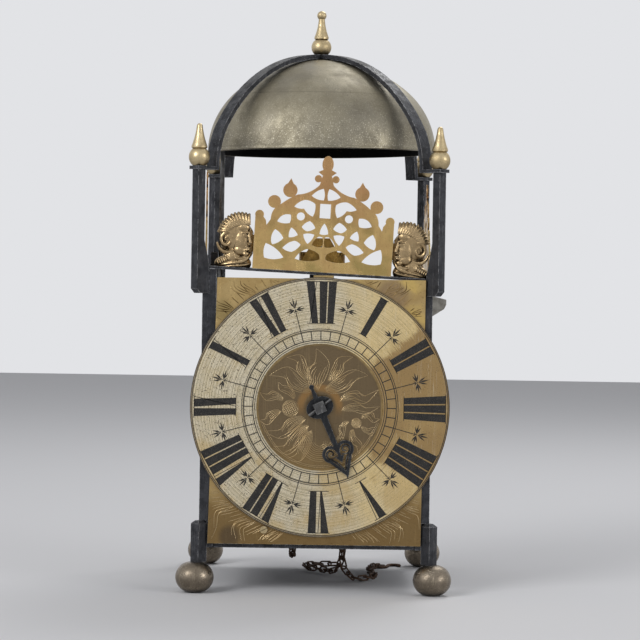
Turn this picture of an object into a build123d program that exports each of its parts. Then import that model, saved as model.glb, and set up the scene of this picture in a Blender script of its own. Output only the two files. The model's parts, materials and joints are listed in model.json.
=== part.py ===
from build123d import *
from math import atan2, cos, hypot, pi, radians, sin, sqrt, tan
import os

# An iron-framed lantern clock. Millimetres, +Z up, the dial faces -Y, and the origin lies on
# the floor midway between the four ball feet.

# ---- driving dimensions -----------------------------------------------------------------
CAGE_HALF = 75.0  # axis to the outer face of a corner post, both ways
POST = 9.0  # side of a corner post
FLOOR_PLATE_Z = 29.0  # underside of the bottom plate
FLOOR_PLATE_T = 2.4
TOP_Z = 209.2  # upper face of the top plate at the axis
TOP_T = 1.8
TOP_SLOPE = 2.6  # degrees: the hand-fitted top plate drops to the right
FOOT_BAR = 7.4  # side of a foot bar, set cornerwise
FOOT_BAR_TOP = 46.5
BALL_R = 12.5
BALL_H = 19.6
BALL_SET_OUT = 2.2  # the ball sits this much further out than its bar, in x and in y
PILLAR = 6.0  # side of an upper pillar, set cornerwise
PILLAR_OUT = 3.2  # a front pillar's centre line stands this far outside the cage, in x and in y
REAR_INSET = 4.0  # the rear pillars stand in from the corners by this much
PILLAR_FOOT_Z = 194.5
PILLAR_TOP_Z = 275.0
STRAP_W = 9.0
STRAP_T = 3.0
STRAP_CROWN_Z = 357.0  # top of the strap where its arms cross
STRAP_R = 108.0  # radius of the strap's upper sweep
LUG_T = 2.2
BELL_R = 77.5
BELL_H = 63.5
BELL_SIDE_R = 55.0  # radius of the bell's flank, which runs into a flatter crown
BELL_WALL = 2.6
BELL_LEAN = 2.2  # degrees: the bell hangs a little to the right
STUD_R = 2.3  # the screw through strap and bell
DIAL_X = 2.6  # the dial and both trains stand this far right of the frame's axis
DIAL_Z = 121.4
RING_OUT_R = 84.5
RING_IN_R = 41.3
RING_T = 1.6
DIAL_T = 1.5
DIAL_LOW_Z, DIAL_HIGH_Z = 31.8, 204.9
BAR_W = 16.0  # a movement bar's width
BAR_T = 4.0
ARM_Z = 155.6  # centre of the bars' cross arms
ARM_H = 9.0
ARM_LEFT, ARM_RIGHT = -63.0, 57.0
FRONT_BAR_Y, MIDDLE_BAR_Y, REAR_BAR_Y = -58.0, 2.0, 54.0  # rear face of each bar
ARBOR_R = 2.2
PIVOT_R = 1.3
RUN = 0.05  # radial clearance of a running fit
PRESS = 0.01  # radial clearance of a part driven onto its arbor
END_PLAY = 0.3  # between an arbor's shoulder and its bar
CLEAR = 0.4  # between moving pieces that pass each other

# ---- trains: teeth and modules ----------------------------------------------------------
LEAVES = 8  # every pinion
GREAT_TEETH, GREAT_M = 48, 1.25
SECOND_TEETH, SECOND_M = 48, 1.0
CONTRATE_TEETH, CONTRATE_M = 48, 0.8
CROWN_TEETH = 31
HOUR_TEETH, HOUR_M = 64, 0.8
HOOP_TEETH, HOOP_M = 48, 0.9
WARNING_TEETH, WARNING_M = 40, 0.8
COUNT_TEETH, COUNT_M = 52, 0.9
WHEEL_T = 2.0
STRIKE_PINS = 12
STRIKE_LIFT = 8.0  # the striking train's great arbor lies this far above the going train's
HAND_DEG = 156.7  # clockwise from twelve

# A tooth, in modules and in shares of the pitch: addendum, dedendum, root and tip width.
WHEEL_TOOTH = (0.8, 1.0, 0.50, 0.20)
LEAF = (0.6, 1.1, 0.38, 0.20)

# ---- places worked out from the sizes ----------------------------------------------------
SLOPE = radians(TOP_SLOPE)
POST_AT = CAGE_HALF - POST / 2
PILLAR_AT = CAGE_HALF + PILLAR_OUT
FLOOR_TOP = FLOOR_PLATE_Z + FLOOR_PLATE_T
CORNERS = [(-1, -1), (1, -1), (-1, 1), (1, 1)]
CORNER_NAMES = {(-1, -1): "front_left", (1, -1): "front_right", (-1, 1): "rear_left", (1, 1): "rear_right"}
DIAL_BACK_Y = -CAGE_HALF
DIAL_FRONT_Y = DIAL_BACK_Y - DIAL_T
RING_FRONT_Y = DIAL_FRONT_Y - RING_T
HOUR_ARBOR_R = 5.0
HOUR_STUD_R = 2.0

GREAT_Z = DIAL_Z - (HOUR_TEETH + LEAVES) * HOUR_M / 2
SECOND_Z = GREAT_Z + (GREAT_TEETH + LEAVES) * GREAT_M / 2
CONTRATE_Z = SECOND_Z + (SECOND_TEETH + LEAVES) * SECOND_M / 2
STRIKE_Z = GREAT_Z + STRIKE_LIFT
HOOP_Z = STRIKE_Z + (GREAT_TEETH + LEAVES) * GREAT_M / 2
WARNING_Z = HOOP_Z + (HOOP_TEETH + LEAVES) * HOOP_M / 2
FLY_Z = WARNING_Z + (WARNING_TEETH + LEAVES) * WARNING_M / 2
COUNT_Z = STRIKE_Z + (COUNT_TEETH + LEAVES) * COUNT_M / 2

TOP_PLANE = Plane(origin=(0, 0, TOP_Z), x_dir=(cos(SLOPE), 0, -sin(SLOPE)), z_dir=(sin(SLOPE), 0, cos(SLOPE)))
TOP_UNDER = TOP_PLANE.offset(-TOP_T)


def top_z(x):
    """Height of the top plate's upper face at x."""
    return TOP_Z - x * tan(SLOPE)


def facing(y, x=0.0, z=0.0):
    """A plane at y that looks forward: local x is right and local y is up."""
    return Plane(origin=(x, y, z), x_dir=(1, 0, 0), z_dir=(0, -1, 0))


def corner_plane(sx, sy):
    """The upright plane through the axis and a corner: local x runs out to it, local y is up."""
    return Plane(origin=(0, 0, 0), x_dir=(sx, sy, 0), z_dir=(sy, -sx, 0))


def save(name, builder):
    builder.part.label = name
    export_step(builder.part, f"parts/{name}.step")


os.makedirs("parts", exist_ok=True)

# ---- feet and frame ----------------------------------------------------------------------
FOOT_AT = CAGE_HALF  # centre line of a foot bar
BALL_AT = FOOT_AT + BALL_SET_OUT
BALL_FLAT_R, BALL_NECK_R = 3.2, 4.6
FOOT_SEAT = FOOT_AT * sqrt(2) - FOOT_BAR / 2  # distance from the axis to the bar's inner face
FOOT_CHAMFER = 2.0
TENON_R = 2.0

with BuildPart() as ball:
    with BuildSketch(Plane.XZ):
        with BuildLine():
            flat = Line((0, 0), (BALL_FLAT_R, 0))
            side = ThreePointArc(flat @ 1, (BALL_R, BALL_H / 2), (BALL_NECK_R, BALL_H))
            Polyline(side @ 1, (0, BALL_H), (0, 0))
        make_face()
    revolve(axis=Axis.Z)

with BuildPart() as ball_feet:
    with Locations(*[(sx * BALL_AT, sy * BALL_AT, 0) for sx, sy in CORNERS]):
        add(ball.part)
save("ball_feet", ball_feet)

with BuildPart() as foot_bars:
    with BuildSketch(Plane.XY.offset(BALL_H)):
        with Locations(*[(sx * FOOT_AT, sy * FOOT_AT) for sx, sy in CORNERS]):
            Rectangle(FOOT_BAR, FOOT_BAR, rotation=45)
    extrude(amount=FOOT_BAR_TOP - BALL_H)
    chamfer(foot_bars.faces().group_by(Axis.Z)[-1].edges(), FOOT_CHAMFER)
save("foot_bars", foot_bars)

PILLAR_RHO = PILLAR_AT * sqrt(2)
PILLAR_SEAT = (CAGE_HALF * sqrt(2)) - 3.1  # a flat on the post's corner, where the pillar's foot is riveted
CORNER_CUT = 20.0  # a block larger than the corner that it trims


def corner_post(sx, sy):
    with BuildPart() as post:
        with BuildSketch(Plane.XY.offset(FLOOR_PLATE_Z)):
            with Locations((sx * POST_AT, sy * POST_AT)):
                Rectangle(POST, POST)
        extrude(amount=TOP_Z)
        split(bisect_by=TOP_UNDER, keep=Keep.BOTTOM)
        foot_flat = (FOOT_SEAT, FLOOR_PLATE_Z - 1, FOOT_BAR_TOP)
        pillar_flat = (PILLAR_SEAT, PILLAR_FOOT_Z, TOP_Z + CORNER_CUT)
        for seat, low, high in (foot_flat, pillar_flat):
            with BuildSketch(corner_plane(sx, sy)):
                with Locations((seat + CORNER_CUT / 2, (low + high) / 2)):
                    Rectangle(CORNER_CUT, high - low)
            extrude(amount=CORNER_CUT, both=True, mode=Mode.SUBTRACT)
    return post


PILLAR_TENON_TOP = PILLAR_TOP_Z + LUG_T + 7.0
PILLAR_CURVE_Z = 229.0  # above here the pillar's inner edge runs straight
PILLAR_TOE = 3.0


def pillar(sx, sy):
    """A square bar set cornerwise, with a foot that reaches in to the post and a tenon for its finial."""
    rho = PILLAR_RHO - (REAR_INSET * sqrt(2) if sy > 0 else 0)
    inner, outer = rho - PILLAR / 2, rho + PILLAR / 2
    with BuildPart() as bar:
        with BuildSketch(corner_plane(sx, sy)):
            with BuildLine():
                foot = Polyline(
                    (PILLAR_SEAT, top_z(sx * CAGE_HALF) + 1.0),
                    (PILLAR_SEAT, PILLAR_FOOT_Z),
                    (max(outer, PILLAR_SEAT + PILLAR) - PILLAR_TOE, PILLAR_FOOT_Z),
                    (max(outer, PILLAR_SEAT + PILLAR), PILLAR_FOOT_Z + PILLAR_TOE),
                    (outer, PILLAR_CURVE_Z),
                    (outer, PILLAR_TOP_Z),
                    (inner, PILLAR_TOP_Z),
                    (inner, PILLAR_CURVE_Z),
                )
                Line(foot @ 1, foot @ 0)
            make_face()
        extrude(amount=PILLAR / 2, both=True)
        with BuildSketch(Plane.XY.offset(PILLAR_TOP_Z)):
            with Locations((sx * rho / sqrt(2), sy * rho / sqrt(2))):
                Circle(TENON_R)
        extrude(amount=PILLAR_TENON_TOP - PILLAR_TOP_Z)
    return bar


for corner in CORNERS:
    save(f"corner_post_{CORNER_NAMES[corner]}", corner_post(*corner))
    save(f"pillar_{CORNER_NAMES[corner]}", pillar(*corner))

# ---- plates -------------------------------------------------------------------------------
PLATE_HALF = CAGE_HALF - 1.0
SPROCKET_R = 17.0  # centre line of the chain on its sprocket
GOING_CHAIN_Y, STRIKE_CHAIN_Y = -26.0, 11.5
CHAIN_SLOT = (9.0, 11.0)
SCREW_X, SCREW_Z = -32.7, 41.2  # the screw that holds the dial plate
EAR_W, EAR_H, EAR_T = 12.0, 15.0, 3.0
SCREW_R = 1.5
SCREW_L = 9.0

with BuildPart() as bottom_plate:
    with BuildSketch(Plane.XY.offset(FLOOR_PLATE_Z)):
        Rectangle(2 * PLATE_HALF, 2 * PLATE_HALF)
        with Locations(*[(sx * POST_AT, sy * POST_AT) for sx, sy in CORNERS]):
            Rectangle(POST, POST, mode=Mode.SUBTRACT)
        for y in (GOING_CHAIN_Y, STRIKE_CHAIN_Y):
            with Locations((DIAL_X - SPROCKET_R, y), (DIAL_X + SPROCKET_R, y)):
                Rectangle(*CHAIN_SLOT, mode=Mode.SUBTRACT)
    extrude(amount=FLOOR_PLATE_T)
    with BuildSketch(Plane.XY.offset(FLOOR_TOP)):  # an ear that takes the dial's screw
        with Locations((SCREW_X, DIAL_BACK_Y + EAR_T / 2 + 1.0)):
            Rectangle(EAR_W, EAR_T)
    extrude(amount=EAR_H)
    with BuildSketch(facing(DIAL_BACK_Y, SCREW_X, SCREW_Z)):
        Circle(SCREW_R)
    extrude(amount=-SCREW_L, mode=Mode.SUBTRACT)
save("bottom_plate", bottom_plate)

HAMMER_X, HAMMER_Y = -56.0, 8.0  # the hammer's arbor, and the plane that its stem moves in
STEM_IN = 11.0  # from the bell's outer radius in to the hammer's stem
STEM_X = STEM_IN - BELL_R
STEM_SLOT_L, STEM_SLOT_W = 17.0, 5.0
CROWN_Y = -31.0
CROWN_HOLE = 0.2

with BuildPart() as top_plate:
    with BuildSketch(TOP_UNDER) as top_outline:
        Rectangle(2 * CAGE_HALF / cos(SLOPE), 2 * CAGE_HALF)
        chamfer(top_outline.vertices(), (CAGE_HALF * sqrt(2) - PILLAR_SEAT) * sqrt(2) + CLEAR)
        with Locations((DIAL_X, CROWN_Y)):
            Circle(ARBOR_R + CROWN_HOLE, mode=Mode.SUBTRACT)
        with Locations((STEM_X + (STEM_SLOT_L - STEM_SLOT_W) / 2, HAMMER_Y)):  # the hammer's slot
            SlotOverall(STEM_SLOT_L, STEM_SLOT_W, mode=Mode.SUBTRACT)
    extrude(amount=TOP_T)
save("top_plate", top_plate)

# ---- movement bars --------------------------------------------------------------------------
DETENT_X, DETENT_Z = 50.0, ARM_Z
PIVOT_HOLE_R = PIVOT_R + RUN


def movement_bar(back_y, holes, arm_left=ARM_LEFT, arm_right=ARM_RIGHT):
    """An upright strip with a cross arm, drilled at (x, z, radius)."""
    with BuildPart() as bar:
        with BuildSketch(facing(back_y)):
            with Locations((DIAL_X, FLOOR_TOP + TOP_Z / 2)):
                Rectangle(BAR_W, TOP_Z)
            with Locations(((arm_left + arm_right) / 2, ARM_Z)):
                RectangleRounded(arm_right - arm_left, ARM_H, ARM_H / 2 - 0.1)
            for x, z, radius in holes:
                with Locations((x, z)):
                    Circle(radius, mode=Mode.SUBTRACT)
        extrude(amount=BAR_T)
        split(bisect_by=TOP_UNDER, keep=Keep.BOTTOM)
        split(bisect_by=Plane.XY.offset(FLOOR_TOP), keep=Keep.TOP)
    return bar


DETENT_R = ARBOR_R
DETENT_HOLE = (DETENT_X, DETENT_Z, DETENT_R + RUN)
HAMMER_HOLE = (HAMMER_X, ARM_Z, PIVOT_HOLE_R)

front_bar = movement_bar(
    FRONT_BAR_Y,
    [
        (DIAL_X, GREAT_Z, ARBOR_R + RUN),
        (DIAL_X, SECOND_Z, PIVOT_HOLE_R),
        (DIAL_X, CONTRATE_Z, PIVOT_HOLE_R),
        (DIAL_X, DIAL_Z, HOUR_STUD_R),
        DETENT_HOLE,
    ],
    arm_left=DIAL_X - BAR_W / 2,
)
save("front_bar", front_bar)

POTENCE_T = 4.0
POTENCE_Z = CONTRATE_Z + ARBOR_R + 4.0  # underside of the crown arbor's footstep
POTENCE_W = 9.0

middle_bar = movement_bar(
    MIDDLE_BAR_Y,
    [
        (DIAL_X, GREAT_Z, PIVOT_HOLE_R),
        (DIAL_X, STRIKE_Z, PIVOT_HOLE_R),
        (DIAL_X, SECOND_Z, PIVOT_HOLE_R),
        (DIAL_X, HOOP_Z, PIVOT_HOLE_R),
        (DIAL_X, CONTRATE_Z, PIVOT_HOLE_R),
        (DIAL_X, WARNING_Z, PIVOT_HOLE_R),
        (DIAL_X, FLY_Z, PIVOT_HOLE_R),
        HAMMER_HOLE,
        DETENT_HOLE,
    ],
)
save("middle_bar", middle_bar)

rear_bar = movement_bar(
    REAR_BAR_Y,
    [
        (DIAL_X, STRIKE_Z, ARBOR_R + RUN),
        (DIAL_X, HOOP_Z, PIVOT_HOLE_R),
        (DIAL_X, WARNING_Z, PIVOT_HOLE_R),
        (DIAL_X, FLY_Z, PIVOT_HOLE_R),
        (DIAL_X, COUNT_Z, HOUR_STUD_R),
        HAMMER_HOLE,
        DETENT_HOLE,
    ],
)
save("rear_bar", rear_bar)

# ---- the wheels' shared operations ---------------------------------------------------------


def tooth_points(teeth, module, tooth, phase):
    """Corners of a toothed outline whose first tooth stands at phase, in degrees from local x."""
    addendum, dedendum, root, tip = tooth
    pitch_r, half_pitch = teeth * module / 2, pi / teeth
    low, high = pitch_r - dedendum * module, pitch_r + addendum * module
    points = []
    for k in range(teeth):
        middle = radians(phase) + 2 * half_pitch * k
        for r, side in ((low, -root), (high, -tip), (high, tip), (low, root)):
            angle = middle + side * half_pitch
            points.append((r * cos(angle), r * sin(angle)))
    return points


def rod(rear_y, front_y, radius, x=DIAL_X, z=0.0, mode=Mode.ADD):
    """A cylinder along Y."""
    with BuildSketch(facing(rear_y, x, z)) as section:
        Circle(radius)
    extrude(section.sketch, amount=rear_y - front_y, mode=mode)


def pinion(rear_y, front_y, z, module, phase):
    """Leaves cut on an arbor."""
    with BuildSketch(facing(rear_y, DIAL_X, z)) as leaves:
        with BuildLine():
            Polyline(*tooth_points(LEAVES, module, LEAF, phase), close=True)
        make_face()
    extrude(leaves.sketch, amount=rear_y - front_y)


def wheel(rear_y, z, teeth, module, phase, bore, thickness=WHEEL_T, hub_r=6.0, spoke_w=4.0):
    """A toothed wheel with four crossings and a hub."""
    rim_in = teeth * module / 2 - module - 3.2
    with BuildSketch(facing(rear_y, DIAL_X, z)) as blank:
        with BuildLine():
            Polyline(*tooth_points(teeth, module, WHEEL_TOOTH, phase), close=True)
        make_face()
        Circle(rim_in, mode=Mode.SUBTRACT)
        Rectangle(2 * rim_in + 1, spoke_w)
        Rectangle(spoke_w, 2 * rim_in + 1)
        Circle(hub_r)
        Circle(bore, mode=Mode.SUBTRACT)
    extrude(blank.sketch, amount=thickness)


def arbor_ends(front_y, rear_y, z, x=DIAL_X, radius=ARBOR_R):
    """The shaft between two facing bars, with a pivot in each."""
    rod(rear_y - END_PLAY, front_y + END_PLAY, radius, x, z)
    rod(rear_y + BAR_T - RUN, rear_y - END_PLAY, PIVOT_R, x, z)
    rod(front_y + END_PLAY, front_y - BAR_T + RUN, PIVOT_R, x, z)


LEAF_UNDER = -90.0 + 180.0 / LEAVES  # phase of leaves that meet a wheel below, whose tooth points up
LEAF_ABOVE = 90.0 + 180.0 / LEAVES  # and of leaves that meet a wheel above
TOOTH_UP, TOOTH_DOWN = 90.0, -90.0
MIDDLE_FRONT_Y = MIDDLE_BAR_Y - BAR_T
REAR_FRONT_Y = REAR_BAR_Y - BAR_T

# ---- sprockets -----------------------------------------------------------------------------
LINK_L, LINK_W, LINK_WIRE = 9.4, 5.0, 1.2  # of the chain
SPROCKET_FLANGE_T = 1.6
GROOVE_HALF = LINK_W / 2 + CLEAR
DRUM_R = SPROCKET_R - LINK_W / 2 - 2 * CLEAR
FLANGE_R = DRUM_R + 3.0
GREAT_SHAFT_R = 3.0
SPROCKET_HALF = GROOVE_HALF + SPROCKET_FLANGE_T


def sprocket(chain_y, z):
    """The grooved drum that a chain runs over."""
    with BuildPart() as drum:
        with BuildSketch(Plane.XY):
            with BuildLine():
                Polyline(
                    (GREAT_SHAFT_R + PRESS, -SPROCKET_HALF),
                    (FLANGE_R, -SPROCKET_HALF),
                    (FLANGE_R, -GROOVE_HALF),
                    (DRUM_R, 1.2 - GROOVE_HALF),
                    (DRUM_R, GROOVE_HALF - 1.2),
                    (FLANGE_R, GROOVE_HALF),
                    (FLANGE_R, SPROCKET_HALF),
                    (GREAT_SHAFT_R + PRESS, SPROCKET_HALF),
                    close=True,
                )
            make_face()
        revolve(axis=Axis.Y)
    with BuildPart() as placed:
        with Locations((DIAL_X, chain_y, z)):
            add(drum.part)
    return placed


save("going_sprocket", sprocket(GOING_CHAIN_Y, GREAT_Z))
save("strike_sprocket", sprocket(STRIKE_CHAIN_Y, STRIKE_Z))

# ---- going train ----------------------------------------------------------------------------
GREAT_T = 3.0
GREAT_Y = GOING_CHAIN_Y - SPROCKET_HALF - 0.3  # rear face of the going great wheel
LEAF_OVER = 2.0  # a pinion reaches this far past its wheel on each side
HOUR_WHEEL_Y = FRONT_BAR_Y - BAR_T - 5.0
SECOND_Y = FRONT_BAR_Y + 10.0

with BuildPart() as going_great_wheel:
    wheel(GREAT_Y, GREAT_Z, GREAT_TEETH, GREAT_M, TOOTH_UP, GREAT_SHAFT_R + PRESS, GREAT_T, 8.0, 5.0)
save("going_great_wheel", going_great_wheel)

with BuildPart() as going_great_arbor:
    rod(MIDDLE_FRONT_Y - END_PLAY, FRONT_BAR_Y + END_PLAY, GREAT_SHAFT_R, z=GREAT_Z)
    rod(MIDDLE_BAR_Y - RUN, MIDDLE_FRONT_Y - END_PLAY, PIVOT_R, z=GREAT_Z)
    rod(FRONT_BAR_Y + END_PLAY, HOUR_WHEEL_Y - WHEEL_T - LEAF_OVER, ARBOR_R, z=GREAT_Z)
    pinion(HOUR_WHEEL_Y + LEAF_OVER, HOUR_WHEEL_Y - WHEEL_T - LEAF_OVER, GREAT_Z, HOUR_M, LEAF_ABOVE)
save("going_great_arbor", going_great_arbor)

with BuildPart() as second_wheel:
    wheel(SECOND_Y, SECOND_Z, SECOND_TEETH, SECOND_M, TOOTH_UP, ARBOR_R + PRESS)
save("second_wheel", second_wheel)

with BuildPart() as second_arbor:
    arbor_ends(FRONT_BAR_Y, MIDDLE_FRONT_Y, SECOND_Z)
    pinion(GREAT_Y + LEAF_OVER, GREAT_Y - GREAT_T - LEAF_OVER, SECOND_Z, GREAT_M, LEAF_UNDER)
save("second_arbor", second_arbor)

CROWN_LEAF_R = LEAVES * CONTRATE_M / 2
CONTRATE_R = CONTRATE_TEETH * CONTRATE_M / 2
CONTRATE_FACE = 2.4  # radial width of a contrate tooth
CONTRATE_PITCH_Y = CROWN_Y - CROWN_LEAF_R
CONTRATE_ROOT_Y = CONTRATE_PITCH_Y - WHEEL_TOOTH[1] * CONTRATE_M
CONTRATE_TIP_Y = CONTRATE_PITCH_Y + WHEEL_TOOTH[0] * CONTRATE_M
CONTRATE_Y = CONTRATE_ROOT_Y - 3.0  # rear face of its web
CONTRATE_IN_R, CONTRATE_OUT_R = CONTRATE_R - CONTRATE_FACE / 2, CONTRATE_R + CONTRATE_FACE / 2

with BuildPart() as contrate_tooth:
    with BuildSketch(Plane(origin=(DIAL_X, 0, CONTRATE_Z + CONTRATE_IN_R), x_dir=(1, 0, 0), z_dir=(0, 0, 1))):
        half_pitch = pi * CONTRATE_M / 2
        root_w, tip_w = WHEEL_TOOTH[2] * half_pitch, WHEEL_TOOTH[3] * half_pitch
        with BuildLine():
            Polyline(
                (-root_w, CONTRATE_ROOT_Y - 0.2),
                (root_w, CONTRATE_ROOT_Y - 0.2),
                (tip_w, CONTRATE_TIP_Y),
                (-tip_w, CONTRATE_TIP_Y),
                close=True,
            )
        make_face()
    extrude(amount=CONTRATE_FACE)

CONTRATE_AXIS = Axis((DIAL_X, 0, CONTRATE_Z), (0, 1, 0))
with BuildPart() as contrate_wheel:
    with BuildSketch(facing(CONTRATE_Y, DIAL_X, CONTRATE_Z)):
        Circle(CONTRATE_OUT_R)
        Circle(CONTRATE_IN_R - 1.5, mode=Mode.SUBTRACT)
        Rectangle(2 * CONTRATE_IN_R - 1, 3.4)
        Rectangle(3.4, 2 * CONTRATE_IN_R - 1)
        Circle(5.0)
        Circle(ARBOR_R + PRESS, mode=Mode.SUBTRACT)
    extrude(amount=WHEEL_T)
    with BuildSketch(facing(CONTRATE_ROOT_Y, DIAL_X, CONTRATE_Z)):
        Circle(CONTRATE_OUT_R)
        Circle(CONTRATE_IN_R, mode=Mode.SUBTRACT)
    extrude(amount=CONTRATE_ROOT_Y - CONTRATE_Y)
    add([contrate_tooth.part.rotate(CONTRATE_AXIS, k * 360 / CONTRATE_TEETH) for k in range(CONTRATE_TEETH)])
save("contrate_wheel", contrate_wheel)

with BuildPart() as contrate_arbor:
    arbor_ends(FRONT_BAR_Y, MIDDLE_FRONT_Y, CONTRATE_Z)
    pinion(SECOND_Y + LEAF_OVER, SECOND_Y - WHEEL_T - LEAF_OVER, CONTRATE_Z, SECOND_M, LEAF_UNDER)
save("contrate_arbor", contrate_arbor)

# ---- crown wheel, verge and pendulum ---------------------------------------------------------
CROWN_R = 15.4
CROWN_WALL = 1.6
CROWN_WEB_Z = 213.0
CROWN_WEB_T = 1.6
CROWN_RIM_Z = 219.6
CROWN_TOOTH_H = 2.9
CROWN_TOOTH_IN = 0.15  # a tooth stands in this far from both faces of the rim
CROWN_TIP_Z = CROWN_RIM_Z + CROWN_TOOTH_H
CROWN_LEAF_Z = (CONTRATE_Z + CONTRATE_IN_R - 1.5, CONTRATE_Z + CONTRATE_OUT_R + 1.5)
POTENCE_PIVOT_R = 1.2

with BuildPart() as crown_potence:  # an arm from the middle bar, with the crown arbor's footstep
    with BuildSketch(Plane.XY.offset(POTENCE_Z)):
        with Locations((DIAL_X, CROWN_Y)):
            Circle(POTENCE_W / 2 - 1.5)
        with BuildLine():
            Polyline(
                (DIAL_X - POTENCE_W / 2, MIDDLE_FRONT_Y),
                (DIAL_X - POTENCE_W / 2 + 1.5, CROWN_Y),
                (DIAL_X + POTENCE_W / 2 - 1.5, CROWN_Y),
                (DIAL_X + POTENCE_W / 2, MIDDLE_FRONT_Y),
                close=True,
            )
        make_face()
        with Locations((DIAL_X, CROWN_Y)):
            Circle(POTENCE_PIVOT_R + RUN, mode=Mode.SUBTRACT)
    extrude(amount=POTENCE_T)
save("crown_potence", crown_potence)

with BuildPart() as crown_arbor:
    with BuildSketch(Plane.XY.offset(POTENCE_Z + RUN)):
        with Locations((DIAL_X, CROWN_Y)):
            Circle(POTENCE_PIVOT_R)
    extrude(amount=POTENCE_T + END_PLAY)
    with BuildSketch(Plane.XY.offset(POTENCE_Z + POTENCE_T + END_PLAY)):
        with Locations((DIAL_X, CROWN_Y)):
            Circle(ARBOR_R)
    extrude(amount=CROWN_WEB_Z + CROWN_WEB_T + 2.0 - (POTENCE_Z + POTENCE_T + END_PLAY))
    with BuildSketch(Plane(origin=(DIAL_X, CROWN_Y, CROWN_LEAF_Z[0]))):
        with BuildLine():
            Polyline(*tooth_points(LEAVES, CONTRATE_M, LEAF, LEAF_UNDER), close=True)
        make_face()
    extrude(amount=CROWN_LEAF_Z[1] - CROWN_LEAF_Z[0])
save("crown_arbor", crown_arbor)

with BuildPart() as crown_tooth:
    tooth_w = 2 * pi * CROWN_R / CROWN_TEETH
    root_x = CROWN_R - CROWN_WALL + CROWN_TOOTH_IN
    with BuildSketch(Plane(origin=(root_x, 0, 0), x_dir=(0, 1, 0), z_dir=(1, 0, 0))):
        with BuildLine():
            Polyline(
                (-0.38 * tooth_w, CROWN_RIM_Z - 0.2),
                (0.38 * tooth_w, CROWN_RIM_Z - 0.2),
                (0.38 * tooth_w, CROWN_TIP_Z),
                (0.26 * tooth_w, CROWN_TIP_Z),
                close=True,
            )
        make_face()
    extrude(amount=CROWN_WALL - 2 * CROWN_TOOTH_IN)

with BuildPart() as crown_wheel_form:
    with BuildSketch(Plane.XY.offset(CROWN_WEB_Z)):
        Circle(CROWN_R)
        Circle(CROWN_R - 3.2, mode=Mode.SUBTRACT)
        Rectangle(2 * CROWN_R - 4, 3.0)
        Rectangle(3.0, 2 * CROWN_R - 4)
        Circle(4.5)
        Circle(ARBOR_R + PRESS, mode=Mode.SUBTRACT)
    extrude(amount=CROWN_WEB_T)
    with BuildSketch(Plane.XY.offset(CROWN_WEB_Z)):
        Circle(CROWN_R)
        Circle(CROWN_R - CROWN_WALL, mode=Mode.SUBTRACT)
    extrude(amount=CROWN_RIM_Z - CROWN_WEB_Z)
    add([crown_tooth.part.rotate(Axis.Z, k * 360 / CROWN_TEETH) for k in range(CROWN_TEETH)])

with BuildPart() as crown_wheel:
    with Locations((DIAL_X, CROWN_Y, 0)):
        add(crown_wheel_form.part)
save("crown_wheel", crown_wheel)

VERGE_R = 1.6
VERGE_Z = CROWN_TIP_Z + VERGE_R + 1.5
VERGE_PIVOT_R = 1.0
COCK_T = 2.4
FRONT_COCK_Y = CROWN_Y - CROWN_R - 3.0  # rear face of the front cock
REAR_COCK_Y = 68.0
PENDULUM_OUT = 8.0  # the pendulum swings this far behind the cage
PENDULUM_Y = CAGE_HALF + PENDULUM_OUT
PALLET_L = 2.9  # from the verge's axis to a pallet's edge
PALLET_T = 1.1
PALLET_SPREAD = 48.0  # degrees each side of straight down
VERGE_BOSS_R = 3.6

with BuildPart() as verge:
    rod(PENDULUM_Y + 2.5, FRONT_COCK_Y + END_PLAY, VERGE_R, z=VERGE_Z)
    rod(FRONT_COCK_Y + END_PLAY, FRONT_COCK_Y - COCK_T + RUN, VERGE_PIVOT_R, z=VERGE_Z)
    for side, y in ((-1, CROWN_Y - CROWN_R + CROWN_WALL / 2), (1, CROWN_Y + CROWN_R - CROWN_WALL / 2)):
        with BuildSketch(facing(y + 1.6, DIAL_X, VERGE_Z)):
            with Locations(Location((0, 0), side * PALLET_SPREAD)):
                with Locations((0, -PALLET_L / 2)):
                    Rectangle(PALLET_T, PALLET_L)
        extrude(amount=3.2)
save("verge", verge)

PENDULUM_L = 161.6  # from the verge to the middle of the bob: 8928 beats an hour, as the train wants
PENDULUM_R = 1.1
BOB_R, BOB_HALF_T = 13.0, 4.2
BOB_Z = VERGE_Z - PENDULUM_L

with BuildPart() as pendulum_rod:
    with BuildSketch(facing(PENDULUM_Y + 2.0, DIAL_X, VERGE_Z)):
        Circle(VERGE_BOSS_R)
        Circle(VERGE_R + PRESS, mode=Mode.SUBTRACT)
    extrude(amount=4.0)
    with BuildSketch(Plane.XY.offset(BOB_Z - BOB_R - 4.0)):
        with Locations((DIAL_X, PENDULUM_Y)):
            Circle(PENDULUM_R)
    extrude(amount=PENDULUM_L + BOB_R + 4.0 - VERGE_BOSS_R + 0.4)
save("pendulum_rod", pendulum_rod)

with BuildPart() as bob:
    with BuildSketch(Plane.XY):
        with BuildLine():
            face = ThreePointArc((0, BOB_HALF_T), (BOB_R * 0.6, BOB_HALF_T * 0.68), (BOB_R, 0.5))
            edge = Line(face @ 1, (BOB_R, -0.5))
            back = ThreePointArc(edge @ 1, (BOB_R * 0.6, -BOB_HALF_T * 0.68), (0, -BOB_HALF_T))
            Line(back @ 1, face @ 0)
        make_face()
    revolve(axis=Axis.Y)
    Cylinder(PENDULUM_R + RUN, 2 * BOB_R + 2, mode=Mode.SUBTRACT)

with BuildPart() as pendulum_bob:
    with Locations((DIAL_X, PENDULUM_Y, BOB_Z)):
        add(bob.part)
save("pendulum_bob", pendulum_bob)


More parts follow.
